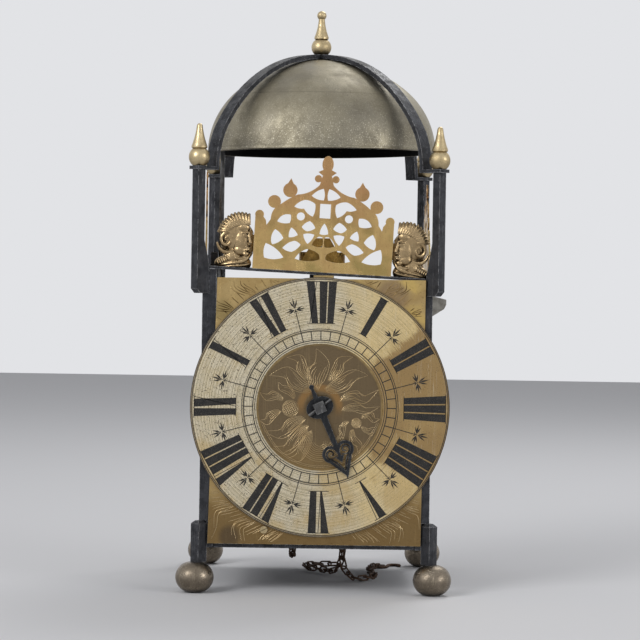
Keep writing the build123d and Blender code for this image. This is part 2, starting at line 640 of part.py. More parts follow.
def cock(name, rear_y, bore, foot_half, opening_half):
    """An upright A-shaped cock on the top plate, with an arched opening between its feet."""
    base = top_z(DIAL_X)
    with BuildPart() as upright:
        with BuildSketch(facing(rear_y, DIAL_X)):
            with BuildLine():
                Polyline(
                    (-foot_half, base - 4),
                    (foot_half, base - 4),
                    (foot_half, base + 5),
                    (5.0, VERGE_Z + 6.0),
                    (-5.0, VERGE_Z + 6.0),
                    (-foot_half, base + 5),
                    close=True,
                )
            make_face()
            with Locations((0, base + 3.0)):
                Circle(opening_half, mode=Mode.SUBTRACT)
            with Locations((0, base)):
                Rectangle(2 * opening_half, 6.0, mode=Mode.SUBTRACT)
            with Locations((0, base - 5)):
                Rectangle(2 * opening_half, 10.0, mode=Mode.SUBTRACT)
            with Locations((0, VERGE_Z)):
                Circle(bore, mode=Mode.SUBTRACT)
        extrude(amount=COCK_T)
        split(bisect_by=TOP_PLANE, keep=Keep.TOP)
    save(name, upright)


cock("front_cock", FRONT_COCK_Y, VERGE_PIVOT_R + RUN, 15.0, 5.5)
cock("rear_cock", REAR_COCK_Y, VERGE_R + RUN, 13.0, 5.0)

# ---- hour wheel and hand ------------------------------------------------------------------
STAR_POINTS, STAR_R, STAR_IN_R, STAR_T = 12, 13.0, 9.0, 1.8
STUD_END_Y = RING_FRONT_Y - 2.2
HAND_T = 1.5
SQUARE = 7.0
HAND_BACK_Y = RING_FRONT_Y - 1.2
ARBOR_END_Y = HAND_BACK_Y - HAND_T - 4.6
SHOULDER_GAP = 0.4  # from the arbor's round shoulder to the back of the hand

COUNT_STUD_END_Y = REAR_BAR_Y + 9.5
with BuildPart() as studs:  # the fixed pins that the hour wheel and the count wheel turn on
    rod(FRONT_BAR_Y, STUD_END_Y, HOUR_STUD_R, z=DIAL_Z)
    rod(COUNT_STUD_END_Y, REAR_FRONT_Y, HOUR_STUD_R, z=COUNT_Z)
save("studs", studs)

with BuildPart() as hour_wheel:
    wheel(HOUR_WHEEL_Y, DIAL_Z, HOUR_TEETH, HOUR_M, TOOTH_DOWN, HOUR_ARBOR_R + PRESS, hub_r=9.5)
    with BuildSketch(facing(HOUR_WHEEL_Y - WHEEL_T, DIAL_X, DIAL_Z)):
        with BuildLine():
            Polyline(
                *[
                    (r * sin(a), r * cos(a))
                    for k in range(STAR_POINTS)
                    for r, a in (
                        (STAR_R, 2 * pi * k / STAR_POINTS),
                        (STAR_IN_R, 2 * pi * (k + 0.5) / STAR_POINTS),
                    )
                ],
                close=True,
            )
        make_face()
        Circle(HOUR_ARBOR_R + PRESS, mode=Mode.SUBTRACT)
    extrude(amount=STAR_T)
save("hour_wheel", hour_wheel)

PIN_TILT = 38.0  # degrees: the taper pin slants up to the right
PIN_L, PIN_R0, PIN_R1 = 17.5, 0.8, 1.3
PIN_Y = HAND_BACK_Y - HAND_T - PIN_R1 - 0.05
PIN_DIR = (cos(radians(PIN_TILT)), 0, sin(radians(PIN_TILT)))
PIN_PLANE = Plane(
    origin=(DIAL_X - PIN_DIR[0] * PIN_L / 2, PIN_Y, DIAL_Z - PIN_DIR[2] * PIN_L / 2),
    x_dir=(0, -1, 0),
    z_dir=PIN_DIR,
)

with BuildPart() as hand_pin:
    with BuildSketch(PIN_PLANE):
        Circle(PIN_R1)
    with BuildSketch(PIN_PLANE.offset(PIN_L)):
        Circle(PIN_R0)
    loft()
save("hand_pin", hand_pin)

HAND_TURN = -HAND_DEG  # the hand's local y, turned from twelve to where it points
HAND_PLANE = Plane(
    origin=(DIAL_X, HAND_BACK_Y, DIAL_Z),
    x_dir=(cos(radians(HAND_TURN)), 0, sin(radians(HAND_TURN))),
    z_dir=(0, -1, 0),
)
with BuildPart() as hour_arbor:
    rod(FRONT_BAR_Y - BAR_T - END_PLAY, HAND_BACK_Y + SHOULDER_GAP, HOUR_ARBOR_R, z=DIAL_Z)
    with BuildSketch(HAND_PLANE.offset(-SHOULDER_GAP)):
        Rectangle(SQUARE, SQUARE)
    extrude(amount=HAND_BACK_Y + SHOULDER_GAP - ARBOR_END_Y)
    rod(FRONT_BAR_Y, STUD_END_Y - END_PLAY, HOUR_STUD_R + RUN, z=DIAL_Z, mode=Mode.SUBTRACT)
    add(hand_pin.part, mode=Mode.SUBTRACT)
save("hour_arbor", hour_arbor)

# The hand, drawn pointing to twelve: boss, stem, open heart and a small tail with a ball.
HAND_BOSS = (9.0, 7.0)
HEART_LOW, HEART_HIGH, HAND_TIP = 24.5, 44.5, 48.8
LOBE_R, LOBE_AT, LOBE_Y = 5.6, 5.0, 31.0
HEART_W = 2.0
TAIL_L, TAIL_BALL_R = 14.2, 1.6

with BuildPart() as hour_hand:
    with BuildSketch(HAND_PLANE):
        Ellipse(*HAND_BOSS)
        with BuildLine():
            Polyline((-2.4, 0), (2.4, 0), (1.5, HEART_LOW + 4), (-1.5, HEART_LOW + 4), close=True)
        make_face()
        with Locations((-LOBE_AT, LOBE_Y), (LOBE_AT, LOBE_Y)):
            Circle(LOBE_R)
        with BuildLine():
            Polyline((-LOBE_AT - LOBE_R, LOBE_Y), (LOBE_AT + LOBE_R, LOBE_Y), (0, HAND_TIP), close=True)
        make_face()
        with Locations((-LOBE_AT, LOBE_Y), (LOBE_AT, LOBE_Y)):
            Circle(LOBE_R - HEART_W, mode=Mode.SUBTRACT)
        with BuildLine():
            Polyline(
                (-LOBE_AT - LOBE_R + HEART_W, LOBE_Y),
                (LOBE_AT + LOBE_R - HEART_W, LOBE_Y),
                (0, HEART_HIGH),
                close=True,
            )
        make_face(mode=Mode.SUBTRACT)
        with BuildLine():  # the dart inside the heart
            Polyline(
                (-1.0, HEART_LOW + 2),
                (1.0, HEART_LOW + 2),
                (1.0, 34.0),
                (3.0, 34.0),
                (0, 38.5),
                (-3.0, 34.0),
                (-1.0, 34.0),
                close=True,
            )
        make_face()
        with BuildLine():
            Polyline((-2.2, 0), (2.2, 0), (0.8, -TAIL_L), (-0.8, -TAIL_L), close=True)
        make_face()
        with Locations((0, -TAIL_L)):
            Circle(TAIL_BALL_R)
        Rectangle(SQUARE + 2 * PRESS, SQUARE + 2 * PRESS, mode=Mode.SUBTRACT)
    extrude(amount=HAND_T)
save("hour_hand", hour_hand)

# ---- striking train -------------------------------------------------------------------------
STRIKE_GREAT_Y = STRIKE_CHAIN_Y + SPROCKET_HALF + 0.3 + GREAT_T  # rear face of its great wheel
PIN_RING_R, STRIKE_PIN_R, STRIKE_PIN_L = 22.0, 1.2, 5.0
HOOP_Y = REAR_FRONT_Y - 16.0
WARNING_Y = HOOP_Y + 7.6
HOOP_RING_R, HOOP_RING_T, HOOP_RING_L = 15.0, 1.2, 4.0
FLY_R, FLY_L, FLY_T = 12.5, 26.0, 0.8
COUNT_Y = REAR_BAR_Y + 4.0  # rear face of the count wheel
COUNT_HUB_R = 7.0
LOCK_DISC_R, LOCK_DISC_T, LOCK_SLOT_W, LOCK_SLOT_D = 29.0, 1.4, 3.2, 3.0
STROKES = sum(range(1, 13))

with BuildPart() as strike_great_wheel:
    wheel(
        STRIKE_GREAT_Y, STRIKE_Z, GREAT_TEETH, GREAT_M, TOOTH_UP, GREAT_SHAFT_R + PRESS, GREAT_T, 8.0, 5.0
    )
    with BuildSketch(facing(STRIKE_GREAT_Y + STRIKE_PIN_L, DIAL_X, STRIKE_Z)):
        with PolarLocations(PIN_RING_R, STRIKE_PINS):
            Circle(STRIKE_PIN_R)
    extrude(amount=STRIKE_PIN_L + GREAT_T / 2)
    with BuildSketch(facing(STRIKE_GREAT_Y, DIAL_X, STRIKE_Z)):  # the band that the pins stand in
        Circle(PIN_RING_R + STRIKE_PIN_R + 0.8)
        Circle(PIN_RING_R - STRIKE_PIN_R - 0.8, mode=Mode.SUBTRACT)
    extrude(amount=GREAT_T)
save("strike_great_wheel", strike_great_wheel)

COUNT_LEAF_Y = COUNT_Y + 0.6
with BuildPart() as strike_great_arbor:
    rod(REAR_FRONT_Y - END_PLAY, MIDDLE_BAR_Y + END_PLAY, GREAT_SHAFT_R, z=STRIKE_Z)
    rod(MIDDLE_BAR_Y + END_PLAY, MIDDLE_FRONT_Y + RUN, PIVOT_R, z=STRIKE_Z)
    rod(COUNT_LEAF_Y, REAR_FRONT_Y - END_PLAY, ARBOR_R, z=STRIKE_Z)
    pinion(COUNT_LEAF_Y, COUNT_Y - WHEEL_T - 0.6, STRIKE_Z, COUNT_M, LEAF_ABOVE)
save("strike_great_arbor", strike_great_arbor)

with BuildPart() as hoop_wheel:
    arbor_ends(MIDDLE_BAR_Y, REAR_FRONT_Y, HOOP_Z)
    pinion(STRIKE_GREAT_Y + LEAF_OVER, STRIKE_GREAT_Y - GREAT_T - LEAF_OVER, HOOP_Z, GREAT_M, LEAF_UNDER)
    wheel(HOOP_Y, HOOP_Z, HOOP_TEETH, HOOP_M, TOOTH_UP, ARBOR_R)
    with BuildSketch(facing(HOOP_Y - WHEEL_T, DIAL_X, HOOP_Z)):  # the hoop, with two gaps for the detent
        Circle(HOOP_RING_R)
        Circle(HOOP_RING_R - HOOP_RING_T, mode=Mode.SUBTRACT)
        Rectangle(2 * HOOP_RING_R + 2, 5.0, rotation=30, mode=Mode.SUBTRACT)
    extrude(amount=HOOP_RING_L)
    with BuildSketch(facing(HOOP_Y, DIAL_X, HOOP_Z)):  # the band of the wheel that the hoop stands on
        Circle(HOOP_RING_R + 0.6)
        Circle(HOOP_RING_R - HOOP_RING_T - 0.6, mode=Mode.SUBTRACT)
    extrude(amount=WHEEL_T)
save("hoop_wheel", hoop_wheel)

with BuildPart() as warning_wheel:
    arbor_ends(MIDDLE_BAR_Y, REAR_FRONT_Y, WARNING_Z)
    pinion(HOOP_Y + LEAF_OVER, HOOP_Y - WHEEL_T - LEAF_OVER, WARNING_Z, HOOP_M, LEAF_UNDER)
    wheel(WARNING_Y, WARNING_Z, WARNING_TEETH, WARNING_M, TOOTH_UP, ARBOR_R, 1.6, 4.5, 3.0)
save("warning_wheel", warning_wheel)

with BuildPart() as fly:
    arbor_ends(MIDDLE_BAR_Y, REAR_FRONT_Y, FLY_Z)
    pinion(WARNING_Y + LEAF_OVER, WARNING_Y - WHEEL_T - LEAF_OVER, FLY_Z, WARNING_M, LEAF_UNDER)
    with BuildSketch(facing(HOOP_Y - LEAF_OVER, DIAL_X, FLY_Z)):
        Rectangle(2 * FLY_R, FLY_T, rotation=20)
    extrude(amount=FLY_L)
save("fly", fly)


def lock_slots():
    """Angles of the count wheel's slots, in degrees: the spaces grow from one blow to twelve."""
    blows = 0
    for hour in range(1, 13):
        yield 360 * (blows + 0.5) / STROKES
        blows += hour


with BuildPart() as count_wheel:
    wheel(COUNT_Y, COUNT_Z, COUNT_TEETH, COUNT_M, TOOTH_DOWN, HOUR_STUD_R + RUN, hub_r=COUNT_HUB_R)
    with BuildSketch(facing(COUNT_Y + LOCK_DISC_T + 1.0, DIAL_X, COUNT_Z)):
        Circle(LOCK_DISC_R)
        Circle(LOCK_DISC_R - 8.0, mode=Mode.SUBTRACT)
        Rectangle(2 * LOCK_DISC_R - 12, 4.0)
        Rectangle(4.0, 2 * LOCK_DISC_R - 12)
        Circle(COUNT_HUB_R)
        for angle in lock_slots():
            with Locations(Location((0, 0), angle)):
                with Locations((LOCK_DISC_R, 0)):
                    Rectangle(2 * LOCK_SLOT_D, LOCK_SLOT_W, mode=Mode.SUBTRACT)
        Circle(HOUR_STUD_R + RUN, mode=Mode.SUBTRACT)
    extrude(amount=LOCK_DISC_T)
    with BuildSketch(facing(COUNT_Y + 1.0, DIAL_X, COUNT_Z)):
        Circle(COUNT_HUB_R)
        Circle(HOUR_STUD_R + RUN, mode=Mode.SUBTRACT)
    extrude(amount=1.0)
save("count_wheel", count_wheel)

# ---- levers and hammer ---------------------------------------------------------------------


def toward(center, point, distance):
    """The place at a distance from center, on the way to point."""
    span = hypot(point[0] - center[0], point[1] - center[1])
    return (
        center[0] + (point[0] - center[0]) * distance / span,
        center[1] + (point[1] - center[1]) * distance / span,
    )


def lever(rear_y, thickness, root, tip, root_w, tip_w):
    """A flat tapered arm between two places in (x, z), round at both ends."""
    along = atan2(tip[1] - root[1], tip[0] - root[0])
    nx, nz = -sin(along), cos(along)
    with BuildSketch(facing(rear_y)) as arm:
        with BuildLine():
            Polyline(
                (root[0] + nx * root_w / 2, root[1] + nz * root_w / 2),
                (tip[0] + nx * tip_w / 2, tip[1] + nz * tip_w / 2),
                (tip[0] - nx * tip_w / 2, tip[1] - nz * tip_w / 2),
                (root[0] - nx * root_w / 2, root[1] - nz * root_w / 2),
                close=True,
            )
        make_face()
        with Locations(root):
            Circle(root_w / 2)
    extrude(arm.sketch, amount=thickness)


ARM_T = 1.6
TIP_GAP = 0.5
LIFT_Y = HOUR_WHEEL_Y - WHEEL_T - CLEAR  # rear face of the lifting arm, before the hour wheel
DETENT_AT = (DETENT_X, DETENT_Z)
TAB_ROOT, TAB_W = (74.0, 180.0), 5.0

with BuildPart() as release_levers:
    rod(COUNT_Y + LOCK_DISC_T + 1.4, LIFT_Y - ARM_T, DETENT_R, DETENT_X, DETENT_Z)
    lever(LIFT_Y, ARM_T, DETENT_AT, toward((DIAL_X, DIAL_Z), DETENT_AT, STAR_R + TIP_GAP), 7.0, 3.0)
    hoop_tip = toward((DIAL_X, HOOP_Z), DETENT_AT, HOOP_RING_R + TIP_GAP)
    lever(HOOP_Y - WHEEL_T - 0.6, 3.0, DETENT_AT, hoop_tip, 7.0, 2.4)
    lever(
        COUNT_Y + LOCK_DISC_T + 1.2,
        1.8,
        DETENT_AT,
        toward((DIAL_X, COUNT_Z), DETENT_AT, LOCK_DISC_R + TIP_GAP),
        7.0,
        2.4,
    )
    lever(HAMMER_Y - 1.0, 3.0, DETENT_AT, TAB_ROOT, 7.0, TAB_W)
    with BuildSketch(facing(HAMMER_Y - 1.0)):  # the finger plate outside the frame
        with BuildLine():
            Polyline(
                (TAB_ROOT[0] - 1.8, TAB_ROOT[1] + 1.8),
                (78.0, 194.0),
                (88.0, 191.5),
                (88.0, 188.0),
                (86.5, 185.0),
                (TAB_ROOT[0] + 1.8, TAB_ROOT[1] - 1.8),
                close=True,
            )
        make_face()
    extrude(amount=3.0)
save("release_levers", release_levers)

STEM_R = 1.6
STEM_KNEE_Z = 190.0
HEAD_Z, HEAD_R = 298.0, 4.5
HEAD_OUT, HEAD_L = 3.5, 15.0  # the head starts this far outside its stem
HEAD_X = (STEM_X - HEAD_OUT, STEM_X - HEAD_OUT + HEAD_L)
TAIL_Y = STRIKE_GREAT_Y + CLEAR + 3.4  # rear face of the tail, among the great wheel's pins
TAIL_T, TAIL_W = 3.0, 3.0
TAIL_FROM = 164.0  # direction of the tail's tip as seen from the great arbor, degrees from +x
TAIL_TIP_R = PIN_RING_R + STRIKE_PIN_R + CLEAR + TAIL_W / 2
HAMMER_AT = (HAMMER_X, ARM_Z)

with BuildPart() as hammer:
    arbor_ends(MIDDLE_BAR_Y, REAR_FRONT_Y, ARM_Z, x=HAMMER_X)
    tail_tip = (
        DIAL_X + TAIL_TIP_R * cos(radians(TAIL_FROM)),
        STRIKE_Z + TAIL_TIP_R * sin(radians(TAIL_FROM)),
    )
    lever(TAIL_Y, TAIL_T, HAMMER_AT, tail_tip, 7.0, TAIL_W)
    lever(HAMMER_Y + STEM_R, 2 * STEM_R, HAMMER_AT, (STEM_X, STEM_KNEE_Z), 7.0, 2 * STEM_R)
    with BuildSketch(Plane.XY.offset(STEM_KNEE_Z - 1.0)):
        with Locations((STEM_X, HAMMER_Y)):
            Circle(STEM_R)
    extrude(amount=HEAD_Z - STEM_KNEE_Z + 1.0)
    with BuildSketch(Plane(origin=(HEAD_X[0], HAMMER_Y, HEAD_Z), x_dir=(0, 1, 0), z_dir=(1, 0, 0))):
        Circle(HEAD_R)
    extrude(amount=HEAD_X[1] - HEAD_X[0])
    chamfer(hammer.edges().filter_by(GeomType.CIRCLE).filter_by(lambda e: abs(e.radius - HEAD_R) < 0.01), 1.0)
save("hammer", hammer)

STOP_W, STOP_D, STOP_H = 5.0, 6.0, 9.0
with BuildPart() as hammer_stop:
    with Locations((STEM_X - STEM_R - 0.3 - STOP_W / 2, HAMMER_Y, TOP_Z)):
        Box(STOP_W, STOP_D, 2 * (STOP_H + CAGE_HALF * tan(SLOPE)))
    split(bisect_by=TOP_PLANE, keep=Keep.TOP)
    split(bisect_by=TOP_PLANE.offset(STOP_H), keep=Keep.BOTTOM)
save("hammer_stop", hammer_stop)

# ---- dial -----------------------------------------------------------------------------------
DIAL_TOP_SHY, DIAL_BOTTOM_SHY = (9.7, 4.6), (5.7, 5.6)  # from the cage's left and right faces
DIAL_TOP_X = (DIAL_TOP_SHY[0] - CAGE_HALF, CAGE_HALF - DIAL_TOP_SHY[1])
DIAL_BOTTOM_X = (DIAL_BOTTOM_SHY[0] - CAGE_HALF, CAGE_HALF - DIAL_BOTTOM_SHY[1])
TAB_X, DIAL_TAB_W, DIAL_TAB_H = 3.8, 13.0, 2.2

with BuildPart() as dial_plate:
    with BuildSketch(facing(DIAL_BACK_Y)):
        with BuildLine():
            Polyline(
                (DIAL_BOTTOM_X[0], DIAL_LOW_Z),
                (DIAL_BOTTOM_X[1], DIAL_LOW_Z),
                (DIAL_TOP_X[1], DIAL_HIGH_Z),
                (DIAL_TOP_X[0], DIAL_HIGH_Z),
                close=True,
            )
        make_face()
        with Locations((TAB_X, DIAL_HIGH_Z)):
            Rectangle(DIAL_TAB_W, 2 * DIAL_TAB_H)
        with Locations((DIAL_X, DIAL_Z)):
            Circle(HOUR_ARBOR_R + RUN, mode=Mode.SUBTRACT)
        with Locations((SCREW_X, SCREW_Z)):
            Circle(SCREW_R + RUN, mode=Mode.SUBTRACT)
    extrude(amount=DIAL_T)
save("dial_plate", dial_plate)

with BuildPart() as chapter_ring:
    with BuildSketch(facing(DIAL_FRONT_Y, DIAL_X, DIAL_Z)):
        Circle(RING_OUT_R)
        Circle(RING_IN_R, mode=Mode.SUBTRACT)
    extrude(amount=RING_T)
save("chapter_ring", chapter_ring)

SCREW_HEAD_R, SCREW_HEAD_T, SCREW_SLOT_W = 2.4, 1.3, 0.6
with BuildPart() as dial_screw:
    rod(DIAL_BACK_Y + SCREW_L - 1.0, DIAL_FRONT_Y, SCREW_R, SCREW_X, SCREW_Z)
    rod(DIAL_FRONT_Y, DIAL_FRONT_Y - SCREW_HEAD_T, SCREW_HEAD_R, SCREW_X, SCREW_Z)
    with BuildSketch(facing(DIAL_FRONT_Y - SCREW_HEAD_T, SCREW_X, SCREW_Z)):
        Rectangle(2 * SCREW_HEAD_R + 1, SCREW_SLOT_W, rotation=25)
    extrude(amount=-SCREW_HEAD_T / 2, mode=Mode.SUBTRACT)
save("dial_screw", dial_screw)

# ---- frets -----------------------------------------------------------------------------------
FRET_T = 1.2
FRET_X = 2.4
FRET_BACK_Y = -73.8
FRET_HALF, FRET_SHOULDER = 45.3, 34.7
WING_H = 12.0  # height of the wings that lengthen the side frets
BUD, BUD_Y = (3.7, 5.4), 70.4


def bowed(points, bow):
    """A closed face of arcs through the points, each side bowed out by bow times its length."""
    with BuildLine() as loop:
        for (x0, y0), (x1, y1) in zip(points, points[1:] + points[:1]):
            middle = ((x0 + x1) / 2 + bow * (y1 - y0), (y0 + y1) / 2 - bow * (x1 - x0))
            ThreePointArc((x0, y0), middle, (x1, y1))
    return make_face(loop.edges(), mode=Mode.PRIVATE)


# The right half of the pierced work, each opening by its corners, counterclockwise.
LEAVES_OUT = [
    [(1.4, 46.9), (9.4, 49.4), (1.9, 54.4)],
    [(8.0, 35.9), (13.9, 40.8), (20.3, 41.8), (13.5, 46.5), (6.8, 44.2)],
    [(22.7, 30.9), (30.8, 31.5), (27.4, 35.7), (22.3, 36.3)],
    [(5.9, 28.5), (11.2, 26.2), (14.7, 28.8), (9.6, 32.9)],
    [(26.3, 20.8), (33.2, 16.4), (34.2, 19.7), (31.9, 26.3)],
    [(17.0, 23.4), (22.7, 21.6), (21.5, 28.0)],
    [(6.3, 24.2), (10.3, 18.0), (13.4, 24.1)],
    [(0.8, 16.4), (7.6, 17.4), (3.4, 23.0), (0.8, 22.7)],
    [(14.8, 17.2), (20.4, 12.2), (26.5, 14.4), (18.9, 19.5)],
    [(25.5, 8.2), (38.0, 7.5), (37.5, 16.9)],
    [(2.0, 8.2), (18.0, 8.0), (10.6, 14.6), (2.4, 11.5)],
]
LEAF_BOW = 0.09
EYE = (15.7, 35.6, 2.6)
MIDDLE_WINDOW = (7.0, 9.3, 39.9)
MIDDLE_DROP = [(-2.8, 24.9), (2.7, 25.0), (0.0, 31.8)]


def fret(plane, openings, size=1.0, half_length=FRET_HALF):
    """A pierced cresting: two facing beasts under a bud, mirrored about the middle."""
    with BuildSketch() as pierced:
        add([bowed(corners, LEAF_BOW) for corners in openings])
        with Locations(EYE[:2]):
            Circle(EYE[2])
        mirror(about=Plane.YZ)
        add(bowed(MIDDLE_DROP, LEAF_BOW))
        with Locations((0, MIDDLE_WINDOW[2])):
            Rectangle(*MIDDLE_WINDOW[:2])
    with BuildSketch() as half:
        with BuildLine():
            tail = Polyline((0, 0), (half_length, 0), (half_length, WING_H), (FRET_HALF, FRET_SHOULDER))
            notch = Polyline(tail @ 1, (42.8, 38.0), (38.2, 31.8), (37.7, 28.8), (35.2, 32.6))
            rise = ThreePointArc(notch @ 1, (33.4, 39.2), (29.0, 43.0))
            back = ThreePointArc(rise @ 1, (24.4, 46.4), (18.6, 49.7))
            crest = ThreePointArc(back @ 1, (10.8, 52.0), (4.6, 56.8))
            Polyline(crest @ 1, (3.0, 63.0), (6.0, 65.2), (2.4, 67.0), (0, 67.0), (0, 0))
        make_face()
        for x, y, radius in ((42.6, 35.4, 2.9), (33.4, 44.3, 4.2), (23.5, 52.3, 4.7), (5.7, 60.8, 2.4)):
            with Locations((x, y)):
                Circle(radius)
        with BuildLine():
            Polyline((21.0, 55.6), (26.0, 55.6), (23.3, 60.0), close=True)
        make_face()
    with BuildSketch() as whole:
        add(half.sketch)
        mirror(about=Plane.YZ)
        with Locations((0, BUD_Y)):
            Ellipse(*BUD)
        add(pierced.sketch, mode=Mode.SUBTRACT)
        scale(by=size)
    with BuildPart() as crest:
        with BuildSketch(plane):
            add(whole.sketch)
        extrude(amount=FRET_T)
    return crest


front_fret = fret(
    Plane(
        origin=(FRET_X, FRET_BACK_Y, top_z(FRET_X)), x_dir=(cos(SLOPE), 0, -sin(SLOPE)), z_dir=(0, -1, 0)
    ),
    LEAVES_OUT,
)
save("front_fret", front_fret)

SIDE_FRET_X = 73.6  # axis to the middle of a side fret's front end
SIDE_FRET_LEFT_YAW = 2.5  # degrees that the left one splays out toward the rear
SIDE_FRET_HALF = 62.0
SIDE_SIZE = 0.84  # the side frets are lower than the front one
SIDE_WINGS = [[(49.0, 5.0), (70.0, 5.0), (70.0, 9.0), (50.0, 22.0)]]


def side_fret(side, yaw):
    along = (side * sin(radians(yaw)), cos(radians(yaw)), 0)
    middle = side * SIDE_FRET_X + SIDE_FRET_HALF * along[0] - FRET_T / 2
    reach = abs(SIDE_FRET_HALF * along[0])
    base = Plane(
        origin=(middle, 0, top_z(middle - reach)), x_dir=along, z_dir=(along[1], -along[0], 0)
    )
    return fret(base, LEAVES_OUT[1:5] + SIDE_WINGS, SIDE_SIZE, SIDE_FRET_HALF / SIDE_SIZE)


save("left_side_fret", side_fret(-1, SIDE_FRET_LEFT_YAW))
save("right_side_fret", side_fret(1, 0.0))

# ---- masks at the ends of the cresting ---------------------------------------------------------
MASK_PLATE_T = 2.2
MASK_BACK_Y = -68.8
HEAD_HALF_W, HEAD_HALF_H = 8.4, 11.0
FACE_STEPS = [(0.0, 1.0, 2.2, 0.9), (2.2, 0.9, 3.8, 0.66), (3.8, 0.66, 4.6, 0.34)]
HEAD_UP = 18.5
HAIR_LOCKS, LOCK_R0, LOCK_R1, LOCK_W = 11, 8.5, 13.2, 2.0
LEFT_MASK_X, RIGHT_MASK_X = -54.4, 59.2


def mask(x):
    """A cast head before a plate: a plain face, a fan of hair, curls at the ears and a collar."""
    base = Plane(
        origin=(x, MASK_BACK_Y, top_z(x)), x_dir=(cos(SLOPE), 0, -sin(SLOPE)), z_dir=(0, -1, 0)
    )
    with BuildPart() as cast:
        with BuildSketch(base):
            with Locations((0, HEAD_UP + 2.5)):
                Ellipse(12.4, 14.0)
            with Locations((0, 3.0)):
                Trapezoid(25.0, 6.0, 78.0)
            with Locations((0, 8.0)):
                Rectangle(15.0, 10.0)
            with Locations((-9.6, 12.5), (9.6, 12.5)):
                Circle(3.4)
        extrude(amount=MASK_PLATE_T)
        with BuildSketch(base.offset(MASK_PLATE_T)):
            with Locations((0, HEAD_UP + 2.0)):
                with PolarLocations((LOCK_R0 + LOCK_R1) / 2, HAIR_LOCKS, -20.0, 220.0):
                    Rectangle(LOCK_R1 - LOCK_R0 + 0.6, LOCK_W)
        extrude(amount=1.6)
        with BuildSketch(base.offset(MASK_PLATE_T)):
            with Locations((-9.6, 12.5), (9.6, 12.5)):
                Circle(2.6)
        extrude(amount=1.8, taper=20)
        with BuildSketch(base.offset(MASK_PLATE_T)):
            with GridLocations(3.4, 1.0, 7, 1):
                with Locations((0, 3.2)):
                    Rectangle(2.4, 4.2)
        extrude(amount=1.0)
        for low, shrink, high, next_shrink in FACE_STEPS:
            with BuildSketch(base.offset(MASK_PLATE_T + low)):
                with Locations((0, HEAD_UP)):
                    Ellipse(HEAD_HALF_W * shrink, HEAD_HALF_H * shrink)
            with BuildSketch(base.offset(MASK_PLATE_T + high)):
                with Locations((0, HEAD_UP)):
                    Ellipse(HEAD_HALF_W * next_shrink, HEAD_HALF_H * next_shrink)
            loft(ruled=True)
    return cast


save("left_mask", mask(LEFT_MASK_X))
save("right_mask", mask(RIGHT_MASK_X))

# ---- bell and strap ---------------------------------------------------------------------------
BELL_RIM_Z = STRAP_CROWN_Z - STRAP_T - 0.5 - BELL_H
FLANK_X = BELL_R - BELL_SIDE_R
CROWN_ARC_R = (FLANK_X**2 + BELL_H**2 - BELL_SIDE_R**2) / (2 * (BELL_H - BELL_SIDE_R))
JOINT = atan2(CROWN_ARC_R - BELL_H, FLANK_X)  # direction of the point where the flank meets the crown


def bell_side(inset):
    """Rim, joint, middles and top of one bell surface, inset from the outer one."""
    flank, crown = BELL_SIDE_R - inset, CROWN_ARC_R - inset
    crown_low = BELL_H - CROWN_ARC_R
    half = (JOINT + pi / 2) / 2
    return [
        (FLANK_X + flank, 0),
        (FLANK_X + flank * cos(JOINT / 2), flank * sin(JOINT / 2)),
        (FLANK_X + flank * cos(JOINT), flank * sin(JOINT)),
        (crown * cos(half), crown_low + crown * sin(half)),
        (0, crown_low + crown),
    ]


with BuildPart() as bell_form:
    with BuildSketch(Plane.XZ):
        with BuildLine():
            outer, inner = bell_side(0), bell_side(BELL_WALL)
            Line(inner[0], outer[0])
            ThreePointArc(*outer[:3])
            ThreePointArc(*outer[2:])
            Line(outer[4], inner[4])
            ThreePointArc(*inner[2:])
            ThreePointArc(*inner[:3])
        make_face()
    revolve(axis=Axis.Z)
    Cylinder(STUD_R + 0.7, 3 * BELL_H, mode=Mode.SUBTRACT)

CROWN_POINT = (0, 0, BELL_RIM_Z + BELL_H)
with BuildPart() as bell:
    with Locations(Location(CROWN_POINT, (0, BELL_LEAN, 0))):
        with Locations((0, 0, -BELL_H)):
            add(bell_form.part)
save("bell", bell)

SHOULDER_R = 94.1  # distance from the axis at which the strap's sweep turns down
FALL_MIDDLE, FALL_R = (98.6, 288.3), 99.8
LUG_OUT = 4.4  # the lug reaches this far past its pillar's axis
STRAP_HOLE_R = STUD_R + 0.3


def strap_arm(sx, sy):
    """One arm of the strap from the crown down to the lug on its pillar."""
    shift = REAR_INSET * sqrt(2) if sy > 0 else 0
    rho = PILLAR_RHO - shift
    center = STRAP_CROWN_Z - STRAP_R
    with BuildPart() as arm:
        with BuildSketch(corner_plane(sx, sy)):
            with BuildLine():
                sides = []
                for inset, foot_z in ((0, PILLAR_TOP_Z + LUG_T), (STRAP_T, PILLAR_TOP_Z)):
                    sweep_r = STRAP_R - inset
                    shoulder = SHOULDER_R - shift - 0.87 * inset
                    turn = (shoulder, center + sqrt(sweep_r**2 - shoulder**2))
                    over = (sweep_r * cos(radians(65)), center + sweep_r * sin(radians(65)))
                    upper = ThreePointArc((0, STRAP_CROWN_Z - inset), over, turn)
                    fall_middle = (FALL_MIDDLE[0] - shift - inset, FALL_MIDDLE[1])
                    fall = ThreePointArc(upper @ 1, fall_middle, (FALL_R - shift - inset, foot_z))
                    sides.append((upper @ 0, fall @ 1))
                Polyline(
                    sides[0][1],
                    (rho + LUG_OUT, PILLAR_TOP_Z + LUG_T),
                    (rho + LUG_OUT, PILLAR_TOP_Z),
                    sides[1][1],
                )
                Line(sides[0][0], sides[1][0])
            make_face()
        extrude(amount=STRAP_W / 2, both=True)
        with BuildSketch(Plane.XY.offset(PILLAR_TOP_Z - 1)):
            with Locations((sx * rho / sqrt(2), sy * rho / sqrt(2))):
                Circle(TENON_R + RUN)
        extrude(amount=LUG_T + 2, mode=Mode.SUBTRACT)
    return arm.part


